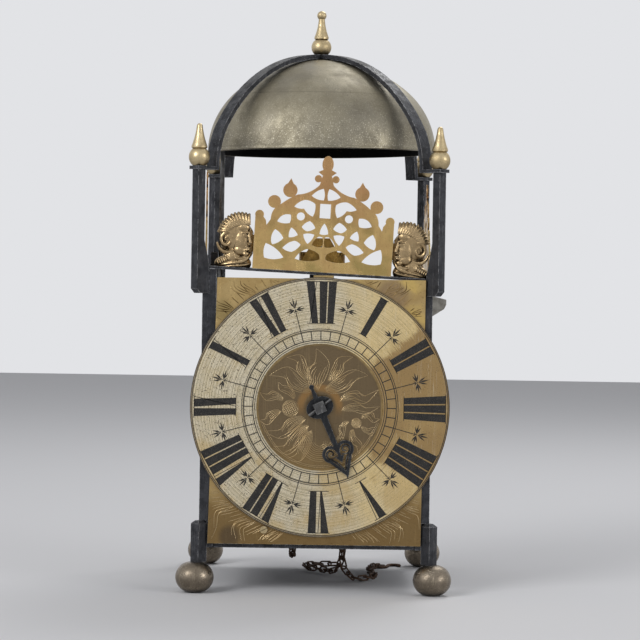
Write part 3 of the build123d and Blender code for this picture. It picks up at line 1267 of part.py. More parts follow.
with BuildPart() as bell_strap:
    add([strap_arm(*corner) for corner in CORNERS])
    Cylinder(STRAP_HOLE_R, 2 * STRAP_CROWN_Z + 10, mode=Mode.SUBTRACT)
save("bell_strap", bell_strap)

NUT_T, NUT_ACROSS = 4.0, 9.0
NUT_TOP_Z = CROWN_POINT[2] - BELL_WALL - 0.35
with BuildPart() as bell_nut:
    with BuildSketch(Plane.XY.offset(NUT_TOP_Z - NUT_T)):
        RegularPolygon(NUT_ACROSS / 2, 6, major_radius=False)
        Circle(STUD_R + RUN, mode=Mode.SUBTRACT)
    extrude(amount=NUT_T)
save("bell_nut", bell_nut)

# ---- finials -----------------------------------------------------------------------------------
TOP_FINIAL_H = 30.0
KNOP_R, NECK_R = 3.2, 2.1
with BuildPart() as bell_finial:
    with BuildSketch(Plane.XZ):
        with BuildLine():
            seat = Line((0, STRAP_CROWN_Z), (4.2, STRAP_CROWN_Z))
            body = ThreePointArc(seat @ 1, (6.8, STRAP_CROWN_Z + 5.4), (4.0, STRAP_CROWN_Z + 10.4))
            collar = Polyline(body @ 1, (4.9, STRAP_CROWN_Z + 10.9), (4.9, STRAP_CROWN_Z + 12.0))
            knop_z = STRAP_CROWN_Z + TOP_FINIAL_H - KNOP_R
            neck = (NECK_R, knop_z - sqrt(KNOP_R**2 - NECK_R**2))
            cone = ThreePointArc(collar @ 1, (3.0, STRAP_CROWN_Z + 18.0), neck)
            knop = ThreePointArc(cone @ 1, (KNOP_R, knop_z), (0, knop_z + KNOP_R))
            Line(knop @ 1, seat @ 0)
        make_face()
    revolve(axis=Axis.Z)
    with BuildSketch(Plane.XY.offset(NUT_TOP_Z - NUT_T - 1.2)):
        Circle(STUD_R)
    extrude(amount=STRAP_CROWN_Z - (NUT_TOP_Z - NUT_T - 1.2))
save("bell_finial", bell_finial)

PILLAR_FINIAL_H = 27.7
TIP_R = 1.95
with BuildPart() as finial_form:
    with BuildSketch(Plane.XZ):
        with BuildLine():
            seat = Line((TENON_R + RUN, 0), (4.0, 0))
            body = ThreePointArc(seat @ 1, (6.85, 5.6), (4.4, 11.2))
            collar = Polyline(body @ 1, (5.2, 11.9), (5.2, 12.8))
            cone = ThreePointArc(collar @ 1, (3.2, 19.0), (TIP_R, PILLAR_FINIAL_H - TIP_R))
            middle = (TIP_R * cos(pi / 4), PILLAR_FINIAL_H - TIP_R + TIP_R * sin(pi / 4))
            tip = ThreePointArc(cone @ 1, middle, (0, PILLAR_FINIAL_H))
            depth = PILLAR_TENON_TOP - PILLAR_TOP_Z - LUG_T + 0.3
            Polyline(tip @ 1, (0, depth), (TENON_R + RUN, depth), seat @ 0)
        make_face()
    revolve(axis=Axis.Z)

PILLAR_PLACES = [
    (
        sx * (PILLAR_AT - (REAR_INSET if sy > 0 else 0)),
        sy * (PILLAR_AT - (REAR_INSET if sy > 0 else 0)),
        PILLAR_TOP_Z + LUG_T,
    )
    for sx, sy in CORNERS
]
with BuildPart() as pillar_finials:
    with Locations(*PILLAR_PLACES):
        add(finial_form.part)
save("pillar_finials", pillar_finials)

# ---- chain ------------------------------------------------------------------------------------
LINK_SLACK = 1.3
LINK_PITCH = LINK_L - 2 * LINK_WIRE - LINK_SLACK
LINK_ROLL = 45.0  # each link is turned this much one way, and the next as much the other way
LEFT_X, RIGHT_X = DIAL_X - SPROCKET_R, DIAL_X + SPROCKET_R
LOOP_LOW_Z = 17.0
LANDING_R = 14.0
FLOOR_Z = 3.0  # height of the middle of a link that lies on the floor
NOSE = 0.9

with BuildPart() as link:
    with BuildSketch(Plane.XY):
        half_l, half_w = LINK_L / 2, LINK_W / 2
        with BuildLine():
            Polyline(
                (half_l, 0),
                (half_l - NOSE, half_w),
                (NOSE - half_l, half_w),
                (-half_l, 0),
                (NOSE - half_l, -half_w),
                (half_l - NOSE, -half_w),
                close=True,
            )
        make_face()
        offset(amount=-LINK_WIRE, mode=Mode.SUBTRACT, kind=Kind.INTERSECTION)
    extrude(amount=LINK_WIRE / 2, both=True)


def landing_arc(foot, heading):
    """A quarter bend from the foot of a hanging strand down onto the floor."""
    x, y, z = foot
    across, down = LANDING_R * (1 - cos(pi / 4)), LANDING_R * sin(pi / 4)
    bend = (x + heading[0] * across, y + heading[1] * across, z - down)
    landed = (x + heading[0] * LANDING_R, y + heading[1] * LANDING_R, z - LANDING_R)
    return ThreePointArc(foot, bend, landed)


LOOP_R = (STRIKE_CHAIN_Y - GOING_CHAIN_Y) / 2  # of the bight that joins the two left strands
LOOP_Z = LOOP_LOW_Z + LOOP_R
with BuildLine() as chain_route:
    rise = Line((RIGHT_X, GOING_CHAIN_Y, FLOOR_Z + LANDING_R), (RIGHT_X, GOING_CHAIN_Y, GREAT_Z))
    over = ThreePointArc(
        rise @ 1, (DIAL_X, GOING_CHAIN_Y, GREAT_Z + SPROCKET_R), (LEFT_X, GOING_CHAIN_Y, GREAT_Z)
    )
    down = Line(over @ 1, (LEFT_X, GOING_CHAIN_Y, LOOP_Z))
    bight = ThreePointArc(
        down @ 1, (LEFT_X, GOING_CHAIN_Y + LOOP_R, LOOP_LOW_Z), (LEFT_X, STRIKE_CHAIN_Y, LOOP_Z)
    )
    up = Line(bight @ 1, (LEFT_X, STRIKE_CHAIN_Y, STRIKE_Z))
    strike_over = ThreePointArc(
        up @ 1, (DIAL_X, STRIKE_CHAIN_Y, STRIKE_Z + SPROCKET_R), (RIGHT_X, STRIKE_CHAIN_Y, STRIKE_Z)
    )
    fall = Line(strike_over @ 1, (RIGHT_X, STRIKE_CHAIN_Y, FLOOR_Z + LANDING_R))
    landing = landing_arc(fall @ 1, (-0.6, 0.8))
    heap = TangentArc(landing @ 1, (-2.0, 38.0, FLOOR_Z), tangent=landing % 1)
    TangentArc(heap @ 1, (19.0, 55.0, FLOOR_Z), tangent=heap % 1)

with BuildLine() as tail_route:
    touch = landing_arc((RIGHT_X, GOING_CHAIN_Y, FLOOR_Z + LANDING_R), (0.8, 0.6))
    past = TangentArc(touch @ 1, (41.0, 12.0, FLOOR_Z), tangent=touch % 1)
    TangentArc(past @ 1, (46.0, 60.0, FLOOR_Z), tangent=past % 1)


def links_along(route, across, first_turn):
    """Links set end to end along a route, turned alternately either way."""
    wire = route.wire()
    placed = []
    for k in range(int(wire.length / LINK_PITCH)):
        place = wire.position_at((k + 0.5) * LINK_PITCH, position_mode=PositionMode.LENGTH)
        ahead = wire.tangent_at((k + 0.5) * LINK_PITCH, position_mode=PositionMode.LENGTH)
        across = (across - ahead * across.dot(ahead)).normalized()
        turn = LINK_ROLL if (k + first_turn) % 2 else -LINK_ROLL
        lay = Plane(origin=place, x_dir=ahead, z_dir=across.rotate(Axis((0, 0, 0), ahead), turn))
        placed.append(link.part.moved(lay.location))
    return placed


with BuildPart() as chain:
    add(links_along(chain_route, Vector(0, 1, 0), 0))
    add(links_along(tail_route, Vector(0, 1, 0), 0))
save("chain", chain)

HOOK_RING_R, HOOK_WIRE_R = 4.4, 1.1
HOOK_BEND_R, HOOK_SHANK_L = 4.0, 8.0
HOOK_TURN = 12.0
HOOK_ALONG = (cos(radians(HOOK_TURN)), -sin(radians(HOOK_TURN)), 0)
HOOK_LIE = Plane(origin=(47.2, 65.2, HOOK_WIRE_R), x_dir=HOOK_ALONG, z_dir=(0, 0, 1))

with BuildPart() as chain_hook:
    with BuildLine(HOOK_LIE) as hook_path:
        ring = CenterArc((0, 0), HOOK_RING_R, 60, 300)
        shank = Line(ring @ 1, (HOOK_RING_R, HOOK_SHANK_L))
        bend = (HOOK_RING_R + HOOK_BEND_R, HOOK_SHANK_L + HOOK_BEND_R)
        ThreePointArc(shank @ 1, bend, (HOOK_RING_R + 2 * HOOK_BEND_R, HOOK_SHANK_L))
    with BuildSketch(Plane(origin=hook_path.line @ 0, z_dir=hook_path.line % 0)):
        RegularPolygon(HOOK_WIRE_R, 6)
    sweep(path=hook_path.line)
save("chain_hook", chain_hook)
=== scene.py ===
# %% [markdown]
# # A lantern clock
# A brass and iron chamber clock of the seventeenth-century kind. The frame, the movement, the
# dial, the frets, the bell and its strap come as fixed CAD pieces. This lesson gives each of
# them its finish, and models what CAD leaves plain: the engraving and the numerals, the cast
# masks, the chain, and the small marks of long use.

# %% Load the fixed pieces
import json
import math
import random

import bmesh
import bpy
from mathutils import Matrix, Vector


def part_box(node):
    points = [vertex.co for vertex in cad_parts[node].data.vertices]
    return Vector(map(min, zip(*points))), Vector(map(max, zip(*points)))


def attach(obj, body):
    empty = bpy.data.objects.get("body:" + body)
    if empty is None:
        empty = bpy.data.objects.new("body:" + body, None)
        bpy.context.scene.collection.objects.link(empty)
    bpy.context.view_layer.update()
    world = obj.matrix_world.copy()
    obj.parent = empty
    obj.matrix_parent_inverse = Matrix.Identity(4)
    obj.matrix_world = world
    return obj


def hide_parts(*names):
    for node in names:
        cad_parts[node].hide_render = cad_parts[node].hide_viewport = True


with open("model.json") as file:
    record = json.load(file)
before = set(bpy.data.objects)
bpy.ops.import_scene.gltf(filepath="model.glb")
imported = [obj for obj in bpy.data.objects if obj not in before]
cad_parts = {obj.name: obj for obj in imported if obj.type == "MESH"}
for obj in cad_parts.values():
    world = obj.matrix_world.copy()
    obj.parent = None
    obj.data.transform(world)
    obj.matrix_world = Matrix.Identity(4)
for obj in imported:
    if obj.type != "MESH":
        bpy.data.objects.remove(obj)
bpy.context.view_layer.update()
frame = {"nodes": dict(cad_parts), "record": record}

parts = frame["nodes"]
MM = 0.001

# %% [markdown]
# ## Camera
# A product photograph is taken from far away with a long lens, so that upright lines stay
# upright. The camera looks level, a little above the top plate of the frame, and the picture is
# moved down with the lens shift instead of tilting the camera. The clock leans a little in its
# picture, which is a small roll of the camera.

# %% Camera
def into_scene(name, data):
    """A new object in the scene."""
    made = bpy.data.objects.new(name, data)
    bpy.context.scene.collection.objects.link(made)
    return made


PICTURE = 640  # pixels, square
FOCAL_PX = 2460  # focal length, in pixels of that picture
SENSOR = 36.0  # mm
EYE = (0.0013, -1.677, 0.2139)  # metres
ROLL = math.radians(0.88)
LEVEL_ROW = 265  # the row of pixels that the camera's axis meets

lens = bpy.data.cameras.new("long_lens")
lens.sensor_width = SENSOR
lens.lens = SENSOR * FOCAL_PX / PICTURE
lens.shift_y = (LEVEL_ROW - PICTURE / 2) / PICTURE
camera = into_scene("camera", lens)
camera.location = EYE
camera.rotation_euler = (math.pi / 2, -ROLL, 0)
bpy.context.scene.camera = camera
bpy.context.scene.view_settings.view_transform = "Standard"
print("lens", round(lens.lens, 1), "mm, shift", round(lens.shift_y, 4))

# %% [markdown]
# ## Floor and light
# Old metal is read by what it mirrors. A wide sheet of pale paper, with a large soft lamp on
# the left, a weaker one on the right and one above and behind, gives long soft highlights and
# dark sides. The world is pale to the camera and to mirrors, and dimmer to matt surfaces, so
# the paper keeps the clock's shadow.

# %% Helpers for shader nodes
def fill(made, inputs):
    """Gives a node's inputs their values, each a constant or a socket to link from."""
    for key, value in inputs.items():
        if isinstance(value, bpy.types.NodeSocket):
            made.id_data.links.new(value, made.inputs[key])
        else:
            made.inputs[key].default_value = value
    return made


def node(tree, kind, inputs=None, **settings):
    """Adds a shader node."""
    made = tree.nodes.new("ShaderNode" + kind)
    for key, value in settings.items():
        setattr(made, key, value)
    return fill(made, inputs or {})


# The helpers below add their node to the tree of the socket that they are given first.
def calc(operation, a, b=0.0, clamp=False):
    """One sum of two values."""
    return node(a.id_data, "Math", {0: a, 1: b}, operation=operation, use_clamp=clamp).outputs[0]


def times(a, b):
    return calc("MULTIPLY", a, b)


def plus(a, b):
    return calc("ADD", a, b)


def minus(a, b):
    return calc("SUBTRACT", a, b)


def vector(operation, one, other):
    """One sum of two directions or places."""
    return node(one.id_data, "VectorMath", {0: one, 1: other}, operation=operation).outputs


def part(where, axis):
    """The x, y or z of a place."""
    return node(where.id_data, "SeparateXYZ", {0: where}).outputs[axis]


def noise(where, scale, detail, **more):
    """Soft noise between 0 and 1, read at where."""
    inputs = {"Vector": where, "Scale": scale, "Detail": detail, **more}
    return node(where.id_data, "TexNoise", inputs).outputs["Fac"]


def lathe_noise(value, axis, scale, detail):
    """Noise that changes with one value only, as the rings of a lathe do."""
    line = node(value.id_data, "CombineXYZ", {axis: value})
    return noise(line.outputs[0], scale, detail)


def tint(share, under, over):
    """Colour over laid on colour under by share."""
    return node(share.id_data, "Mix", {0: share, 6: under, 7: over}, data_type="RGBA").outputs[2]


def between(value, low, high, to_low=0.0, to_high=1.0):
    """Value taken from the range low..high to another range, and held inside it."""
    limits = {0: value, 1: low, 2: high, 3: to_low, 4: to_high}
    return node(value.id_data, "MapRange", limits, interpolation_type="SMOOTHSTEP").outputs[0]


def rgb(red, green, blue):
    """A colour as read off a screen, 0 to 255, made linear."""
    shares = [c / 255 for c in (red, green, blue)]
    linear = [((c + 0.055) / 1.055) ** 2.4 if c > 0.04 else c / 12.92 for c in shares]
    return (*linear, 1.0)


def new_look(name):
    """A new material with its tree and its shader."""
    material = bpy.data.materials.new(name)
    material.use_nodes = True
    return material, material.node_tree, material.node_tree.nodes["Principled BSDF"]


# %% Paper, world and lamps
PAPER_SIDE = 6.0  # metres, so that it reaches past the edges of every view
MATT_LIGHT = 0.45  # strength of the world on matt surfaces
LAMPS_FACE = Vector((0, 0, 0.19))  # the middle of the clock

bpy.ops.object.select_all(action="DESELECT")
bpy.ops.mesh.primitive_plane_add(size=PAPER_SIDE)
paper = bpy.context.object
paper.name = "paper_sweep"
paper_look, tree, shader = new_look("pale_paper")
fill(shader, {"Base Color": rgb(222, 222, 224), "Roughness": 0.85, "Specular IOR Level": 0.2})
paper.data.materials.append(paper_look)

world = bpy.data.worlds.new("studio")
bpy.context.scene.world = world
world.use_nodes = True
tree = world.node_tree
rays = node(tree, "LightPath")
seen = calc("MAXIMUM", rays.outputs["Is Camera Ray"], rays.outputs["Is Glossy Ray"])
seen = calc("MAXIMUM", seen, rays.outputs["Is Transmission Ray"])
strength = between(seen, 0, 1, MATT_LIGHT, 1.0)
fill(tree.nodes["Background"], {"Color": rgb(226, 227, 230), "Strength": strength})


def lamp(name, place, size, watts):
    """A soft square lamp that faces the middle of the clock."""
    light = bpy.data.lights.new(name, "AREA")
    light.size = size
    light.energy = watts
    made = into_scene(name, light)
    made.location = place
    made.rotation_euler = (Vector(place) - LAMPS_FACE).to_track_quat("Z", "Y").to_euler()


lamp("key_lamp", (-1.25, -1.35, 1.15), 0.9, 17)
lamp("fill_lamp", (1.5, -1.0, 0.6), 0.8, 7)
lamp("back_lamp", (0.5, 0.9, 1.5), 0.7, 8)
print("paper and three lamps in place")

# %% [markdown]
# ## Shared surface effects
# Four things happen to all old metal. It mottles, in soft clouds and fine specks. It gets
# scratched. Its edges are rubbed bright, and its corners keep grime, darkened more by painted
# shade. Each effect is a node group that gives out a mask, so that every finish below can use it
# in its own measure. The groups read object coordinates, which are metres here, so a scale of
# 1000 is a millimetre.

# %% Node groups
def effect(name, inputs, outputs):
    """An empty node group with these sockets. Gives the tree and its two end nodes."""
    tree = bpy.data.node_groups.new(name, "ShaderNodeTree")
    for title, kind, value in inputs:
        socket = tree.interface.new_socket(title, in_out="INPUT", socket_type="NodeSocket" + kind)
        if value is not None:
            socket.default_value = value
    for title in outputs:
        tree.interface.new_socket(title, in_out="OUTPUT", socket_type="NodeSocketFloat")
    return tree, tree.nodes.new("NodeGroupInput"), tree.nodes.new("NodeGroupOutput")


mottling, source, result = effect(
    "mottling",
    [("Vector", "Vector", None), ("Scale", "Float", 200.0)],
    ["Cloud", "Specks", "Pits"],
)
where, scale = source.outputs["Vector"], source.outputs["Scale"]
cloud = noise(where, scale, 6.0, Roughness=0.62)
fine = noise(where, times(scale, 11), 3.0)
pits = node(mottling, "TexVoronoi", {"Vector": where, "Scale": times(scale, 6)})
fill(result, {"Cloud": between(cloud, 0.36, 0.66), "Specks": between(fine, 0.58, 0.70)})
fill(result, {"Pits": between(pits.outputs["Distance"], 0.12, 0.45)})

scratches, source, result = effect(
    "scratches", [("Vector", "Vector", None), ("Scale", "Float", 300.0)], ["Lines"]
)
lines = []
for turn, thin in ((0.5, 0.02), (-0.9, 0.03), (1.5, 0.02)):
    laid = node(scratches, "Mapping", {"Vector": source.outputs["Vector"]})
    fill(laid, {"Rotation": (turn, turn * 0.6, turn * 1.7), "Scale": (1.0, 1.0, thin)})
    streak = noise(laid.outputs[0], source.outputs["Scale"], 2.0, Distortion=0.2)
    off = calc("ABSOLUTE", minus(streak, 0.62))
    lines.append(between(off, 0.006, 0.0))
both = calc("MAXIMUM", lines[0], lines[1])
fill(result, {"Lines": calc("MAXIMUM", both, lines[2])})

rubbing_and_shade, source, result = effect(
    "rubbing_and_shade",
    [("Vector", "Vector", None), ("Radius", "Float", 0.0007), ("Corner", "Float", 0.004)],
    ["Edge", "GrimeAndShade"],
)
soft = node(rubbing_and_shade, "Bevel", {"Radius": source.outputs["Radius"]}, samples=4)
true = node(rubbing_and_shade, "NewGeometry")
agree = vector("DOT_PRODUCT", soft.outputs[0], true.outputs["Normal"])["Value"]
breakup = noise(source.outputs["Vector"], 420.0, 4.0)
edge = times(between(agree, 0.995, 0.86), between(breakup, 0.38, 0.6))
# Painted shade with grime: ambient occlusion darkens corners and hollows, where shade falls.
corner = node(rubbing_and_shade, "AmbientOcclusion", {"Distance": source.outputs["Corner"]}, samples=4)
hidden = between(corner.outputs["AO"], 0.85, 0.25)
fill(result, {"Edge": calc("SUBTRACT", edge, hidden, clamp=True), "GrimeAndShade": hidden})

dust, source, result = effect(
    "dust", [("Vector", "Vector", None), ("Amount", "Float", 0.5)], ["Mask"]
)
up = part(node(dust, "NewGeometry").outputs["Normal"], "Z")
fall = noise(source.outputs["Vector"], 180.0, 5.0)
lying = times(between(up, 0.55, 0.98), between(fall, 0.3, 0.7))
fill(result, {"Mask": times(lying, source.outputs["Amount"])})
print("effects:", [group.name for group in bpy.data.node_groups])

# %% [markdown]
# ## One recipe for old metal
# A clean metal colour, a tarnished colour laid over it in clouds, grime and painted shade in the
# corners, bright edges, specks and scratches: brass, bronze, bell metal and iron differ only in
# the amounts. A finish with something of its own, such as the silvering of the dial with its wear,
# hands the recipe a function that changes the colour or the relief before the wear is laid over
# it.

# %% The recipe
SCRATCH_SCALE = 3  # scratches are finer than the clouds by this much
PIT_DEPTH, SCRATCH_DEPTH = 0.5, 0.6  # shares of the relief
DUST_COLOUR, DUST_MATT = rgb(150, 146, 136), 0.4
looks = {}  # the finishes that the recipe makes, by name


def place_effect(tree, group, **inputs):
    """A node group placed in a material, with its own values."""
    return node(tree, "Group", inputs, node_tree=group).outputs


def old_metal(
    name, shades, tarnished=0.6, corner_grime_and_shade=0.7, rubbed=0.7, specks=0.3, scratched=0.3, scale=120.0,
    smooth=0.28, rough=0.5, metallic=1.0, relief=0.00005, dusty=0.0, colour=None, height=None,
):
    """A metal finish with wear, from four shades: clean, tarnished, dark for grime and painted
    shade, and rubbed bright. colour and height may be functions that change its colour or relief."""
    looks[name], tree, shader = new_look(name + "_look")
    clean, tarnish, grime_and_shade_tone, bright = [rgb(*shade) for shade in shades]
    where = node(tree, "TexCoord").outputs["Object"]
    spots = place_effect(tree, mottling, Vector=where, Scale=scale)
    rubbed_and_shaded = place_effect(tree, rubbing_and_shade, Vector=where)
    cuts = place_effect(tree, scratches, Vector=where, Scale=scale * SCRATCH_SCALE)["Lines"]
    look = tint(times(spots["Cloud"], tarnished), clean, tarnish)
    if colour:
        look = colour(where, look)
    look = tint(times(spots["Specks"], specks), look, grime_and_shade_tone)
    look = tint(times(cuts, scratched), look, bright)
    # Painted shade: corners and hollows are darkened towards the dark tone, together with their
    # grime.
    look = tint(times(rubbed_and_shaded["GrimeAndShade"], corner_grime_and_shade), look, grime_and_shade_tone)
    look = tint(times(rubbed_and_shaded["Edge"], rubbed), look, bright)
    matt = between(spots["Cloud"], 0.0, 1.0, smooth, rough)
    if dusty:
        lying = place_effect(tree, dust, Vector=where, Amount=dusty)["Mask"]
        look = tint(lying, look, DUST_COLOUR)
        matt = calc("ADD", matt, times(lying, DUST_MATT), clamp=True)
    low = minus(times(spots["Pits"], PIT_DEPTH), times(cuts, SCRATCH_DEPTH))
    low = minus(low, spots["Specks"])
    if height:
        low = height(where, low)
    bump = node(tree, "Bump", {"Height": low, "Distance": relief})
    fill(shader, {"Base Color": look, "Roughness": matt, "Normal": bump.outputs[0]})
    fill(shader, {"Metallic": metallic})


# %% [markdown]
# ## Finishes
# The frame is blackened iron with pale worn edges, the bell a grey-green bell metal, the fret
# and plates brass that has gone brown, and the finials an older, greener brass.

# %% Patterns of the cresting and the bell
COPPER_FROM, COPPER_FULL = 0.258, 0.292  # heights between which the cresting turns coppery
FRET_FRONT = -0.0745
BLOTS = ((-0.0208, 0.2425, 0.0042), (0.0322, 0.2399, 0.0048))  # x, height and radius
SPARKLE_MOST, SPARKLE_LEAST = 0.312, 0.350
BELL_HEART = (0.0, 0.0, 0.290)  # a point inside the bell


def patchy_brass(where, look):
    """Golden, olive and coppery patches, most of the copper near the top, and two dark blots."""
    up = part(where, "Z")
    cloud = noise(where, 55.0, 4.0)
    look = tint(times(between(cloud, 0.5, 0.66), 0.6), look, rgb(150, 134, 80))
    high = plus(up, times(cloud, 0.05))
    copper = times(between(high, COPPER_FROM, COPPER_FULL), 0.6)
    look = tint(copper, look, rgb(176, 128, 92))
    for right, height, radius in BLOTS:
        far = vector("DISTANCE", where, (right, FRET_FRONT, height))["Value"]
        edge = plus(far, times(cloud, 0.003))
        blot = times(between(edge, radius, radius * 0.55), 0.75)
        look = tint(blot, look, rgb(104, 92, 80))
    return look


def speckled_bell(where, look):
    """Cloudy grey patches, rings of wear, a fine pale sparkle low down, and the inside painted
    near black as shade.
    """
    up = part(where, "Z")
    cloud = noise(where, 26.0, 5.0)
    look = tint(times(between(cloud, 0.42, 0.66), 0.5), look, rgb(112, 108, 100))
    high = plus(up, times(cloud, 0.04))
    low = between(high, SPARKLE_LEAST, SPARKLE_MOST, 0.15, 0.75)
    sparkle = times(between(noise(where, 1400.0, 2.0), 0.58, 0.68), low)
    look = tint(sparkle, look, rgb(206, 200, 182))
    rings = between(lathe_noise(up, 2, 420.0, 3.0), 0.56, 0.66, 0.0, 0.3)
    look = tint(rings, look, rgb(96, 90, 76))
    # Painted shade: the inside of the wall, where the surface faces the heart of the bell, is made
    # near black.
    out = vector("SUBTRACT", where, BELL_HEART)[0]
    facing = node(where.id_data, "NewGeometry").outputs["Normal"]
    outward = vector("DOT_PRODUCT", out, facing)["Value"]
    return tint(between(outward, 0.0, -0.004), look, rgb(20, 19, 18))


def bell_rings(where, low):
    """Faint lathe rings round the bell."""
    up = part(where, "Z")
    return plus(low, lathe_noise(up, 2, 500.0, 2.0))


# %% Plain finishes
old_metal(
    "blackened_iron", ((68, 69, 73), (32, 33, 36), (15, 15, 16), (176, 176, 178)),
    rubbed=0.95, specks=0.4, scratched=0.35, scale=150, smooth=0.38, rough=0.6, metallic=0.75,
    relief=0.00018, dusty=0.25,
)
old_metal(
    "rusty_iron", ((92, 66, 48), (60, 42, 32), (30, 22, 18), (140, 120, 100)),
    rubbed=0.4, specks=0.6, scratched=0.1, scale=260, smooth=0.55, rough=0.8, metallic=0.4,
    relief=0.0003,
)
old_metal(
    "worn_steel", ((92, 92, 92), (58, 56, 54), (28, 27, 26), (190, 190, 188)),
    rubbed=0.8, specks=0.4, scratched=0.5, scale=220, smooth=0.28, rough=0.5, metallic=0.95,
    relief=0.00006,
)
old_metal(
    "old_brass", ((198, 180, 142), (158, 140, 106), (58, 48, 34), (222, 204, 164)),
    rubbed=0.5, specks=0.35, scratched=0.25, scale=160, smooth=0.32, rough=0.5, relief=0.00005,
)
old_metal(
    "movement_brass", ((168, 134, 72), (132, 104, 58), (60, 46, 26), (226, 198, 130)),
    rubbed=0.5, specks=0.2, scratched=0.3, scale=140, smooth=0.26, rough=0.42, relief=0.00004,
)
old_metal(
    "fret_brass", ((200, 170, 112), (170, 138, 92), (84, 64, 42), (234, 212, 168)),
    rubbed=0.6, specks=0.25, scratched=0.12, scale=90, smooth=0.27, rough=0.42, relief=0.00004,
    colour=patchy_brass,
)
# The masks get the most painted shade in their hollows, with their grime.
old_metal(
    "mask_bronze", ((180, 156, 118), (128, 107, 78), (30, 24, 18), (246, 234, 204)),
    corner_grime_and_shade=0.95, rubbed=0.6, specks=0.12, scratched=0.1, scale=160, smooth=0.2, rough=0.34,
    relief=0.00003,
)
old_metal(
    "bell_metal", ((150, 143, 124), (128, 121, 103), (74, 68, 56), (196, 190, 170)),
    rubbed=0.35, specks=0.2, scratched=0.0, scale=60, smooth=0.46, rough=0.62, relief=0.00004,
    colour=speckled_bell, height=bell_rings,
)
old_metal(
    "feet_metal", ((138, 127, 112), (100, 91, 79), (44, 39, 34), (214, 202, 176)),
    rubbed=0.5, specks=0.45, scratched=0.35, scale=130, smooth=0.26, rough=0.44, relief=0.00008,
)
old_metal(
    "hand_steel", ((52, 54, 56), (34, 34, 36), (18, 18, 19), (150, 150, 150)),
    rubbed=0.7, specks=0.3, scratched=0.4, scale=260, smooth=0.3, rough=0.5, metallic=0.9,
    relief=0.00007,
)
old_metal(
    "bare_steel", ((176, 173, 165), (128, 125, 118), (60, 57, 52), (214, 212, 206)),
    rubbed=0.6, specks=0.5, scratched=0.4, scale=200, smooth=0.4, rough=0.65, metallic=0.5,
    relief=0.00008,
)
print("plain finishes:", ", ".join(looks))

# %% [markdown]
# The chapter ring was silvered once. The silvering has gone a warm grey, it is full of small
# black pits, it keeps the rings of the lathe, and it has been rubbed down to the brass between
# two o'clock and four. The dial plate behind it is golden at its corners and nearly brown in
# the middle. Both patterns turn round the dial's centre, so both start from the distance to
# that point.

# %% Dial finishes
DIAL_RIGHT, DIAL_UP = 2.6, 121.4  # mm, of the dial's centre
DIAL = (DIAL_RIGHT * MM, DIAL_UP * MM)
MIDDLE_R, RING_R = 42.0, 84.0  # radii in mm of the hole in the ring and of the ring


def from_dial(where):
    """Distance from the dial's axis in mm, and the offsets across and up."""
    across, up = minus(part(where, "X"), DIAL[0]), minus(part(where, "Z"), DIAL[1])
    distance = times(far_from(across, up), 1000)
    return distance, times(across, 1000), times(up, 1000)


def far_from(across, up):
    """Length of the way with these two parts."""
    return calc("SQRT", plus(times(across, across), times(up, up)))


def worn_silvering(where, look):
    """Rings and pits in the silvering, brass at the right and in places low down, and a brown
    painted shade along the outer edge.
    """
    distance, across, up = from_dial(where)
    rings = lathe_noise(distance, 0, 1.6, 3.0)
    look = tint(between(rings, 0.42, 0.6, 0.0, 0.75), look, rgb(140, 126, 96))
    patch = noise(where, 38.0, 5.0)
    turn = calc("ABSOLUTE", calc("ARCTAN2", minus(up, 5.0), across))
    blurred = plus(turn, times(minus(patch, 0.5), 1.6))
    blurred = plus(blurred, times(minus(rings, 0.5), 0.9))
    look = tint(between(blurred, 1.6, 0.75, 0.0, 0.7), look, rgb(222, 194, 130))
    look = tint(between(blurred, 0.78, 0.6), look, rgb(158, 130, 84))
    streaks = times(between(patch, 0.5, 0.66), between(rings, 0.45, 0.6))
    look = tint(times(streaks, 0.6), look, rgb(186, 160, 104))
    left = between(across, 30.0, -40.0, 0.25, 0.95)
    black = times(between(noise(where, 1400.0, 2.0), 0.60, 0.68), left)
    look = tint(black, look, rgb(60, 53, 42))
    lower = times(between(patch, 0.46, 0.6), between(up, 5.0, -40.0, 0.0, 0.6))
    look = tint(lower, look, rgb(196, 168, 112))
    # Painted shade: the outer edge of the ring is darkened to brown.
    rim = between(distance, RING_R - 1.4, RING_R - 0.4, 0.0, 0.6)
    return tint(rim, look, rgb(118, 96, 66))


def lathe_rings(where, low):
    """The relief that the lathe left on the ring."""
    rings = lathe_noise(from_dial(where)[0], 0, 3.2, 3.0)
    return plus(low, times(rings, 1.3))


# Stains of the plate: offsets from the dial's centre and radius in mm, and colour.
STAINS = (
    (46.0, 73.0, 11.0, rgb(142, 120, 94)),
    (-58.5, -85.0, 8.0, rgb(88, 76, 62)),
    (-64.0, 62.0, 7.0, rgb(146, 128, 84)),
)


def browned_middle(where, look):
    """A brown middle with a glow round the hand, a darker foot, and bright and stained patches."""
    distance, across, up = from_dial(where)
    patch = noise(where, 60.0, 4.0)
    uneven = plus(distance, times(patch, 3.0))
    middle = between(uneven, MIDDLE_R + 1.0, MIDDLE_R - 1.0)
    look = tint(times(middle, 0.88), look, rgb(104, 90, 72))
    glow = between(calc("ABSOLUTE", minus(distance, 12.5)), 3.6, 0.8)
    glow = times(glow, between(up, -8.0, 4.0))
    look = tint(times(glow, 0.42), look, rgb(184, 136, 74))
    low_side = times(between(up, -18.0, -34.0), middle)
    look = tint(times(low_side, 0.5), look, rgb(150, 124, 80))
    foot = between(plus(up, times(patch, 30.0)), -30.0, -62.0)
    look = tint(times(foot, 0.75), look, rgb(110, 86, 54))
    fine = noise(where, 24.0, 6.0, Distortion=0.8)
    bright = times(between(fine, 0.5, 0.62), between(up, -20.0, 40.0))
    bright = times(bright, between(distance, RING_R, RING_R + 2.0))
    look = tint(times(bright, 0.7), look, rgb(214, 184, 110))
    for right, height, radius, shade in STAINS:
        far = far_from(minus(across, right), minus(up, height))
        far = plus(far, times(fine, 8.0))
        look = tint(between(far, radius + 6.0, radius, 0.0, 0.7), look, shade)
    return look


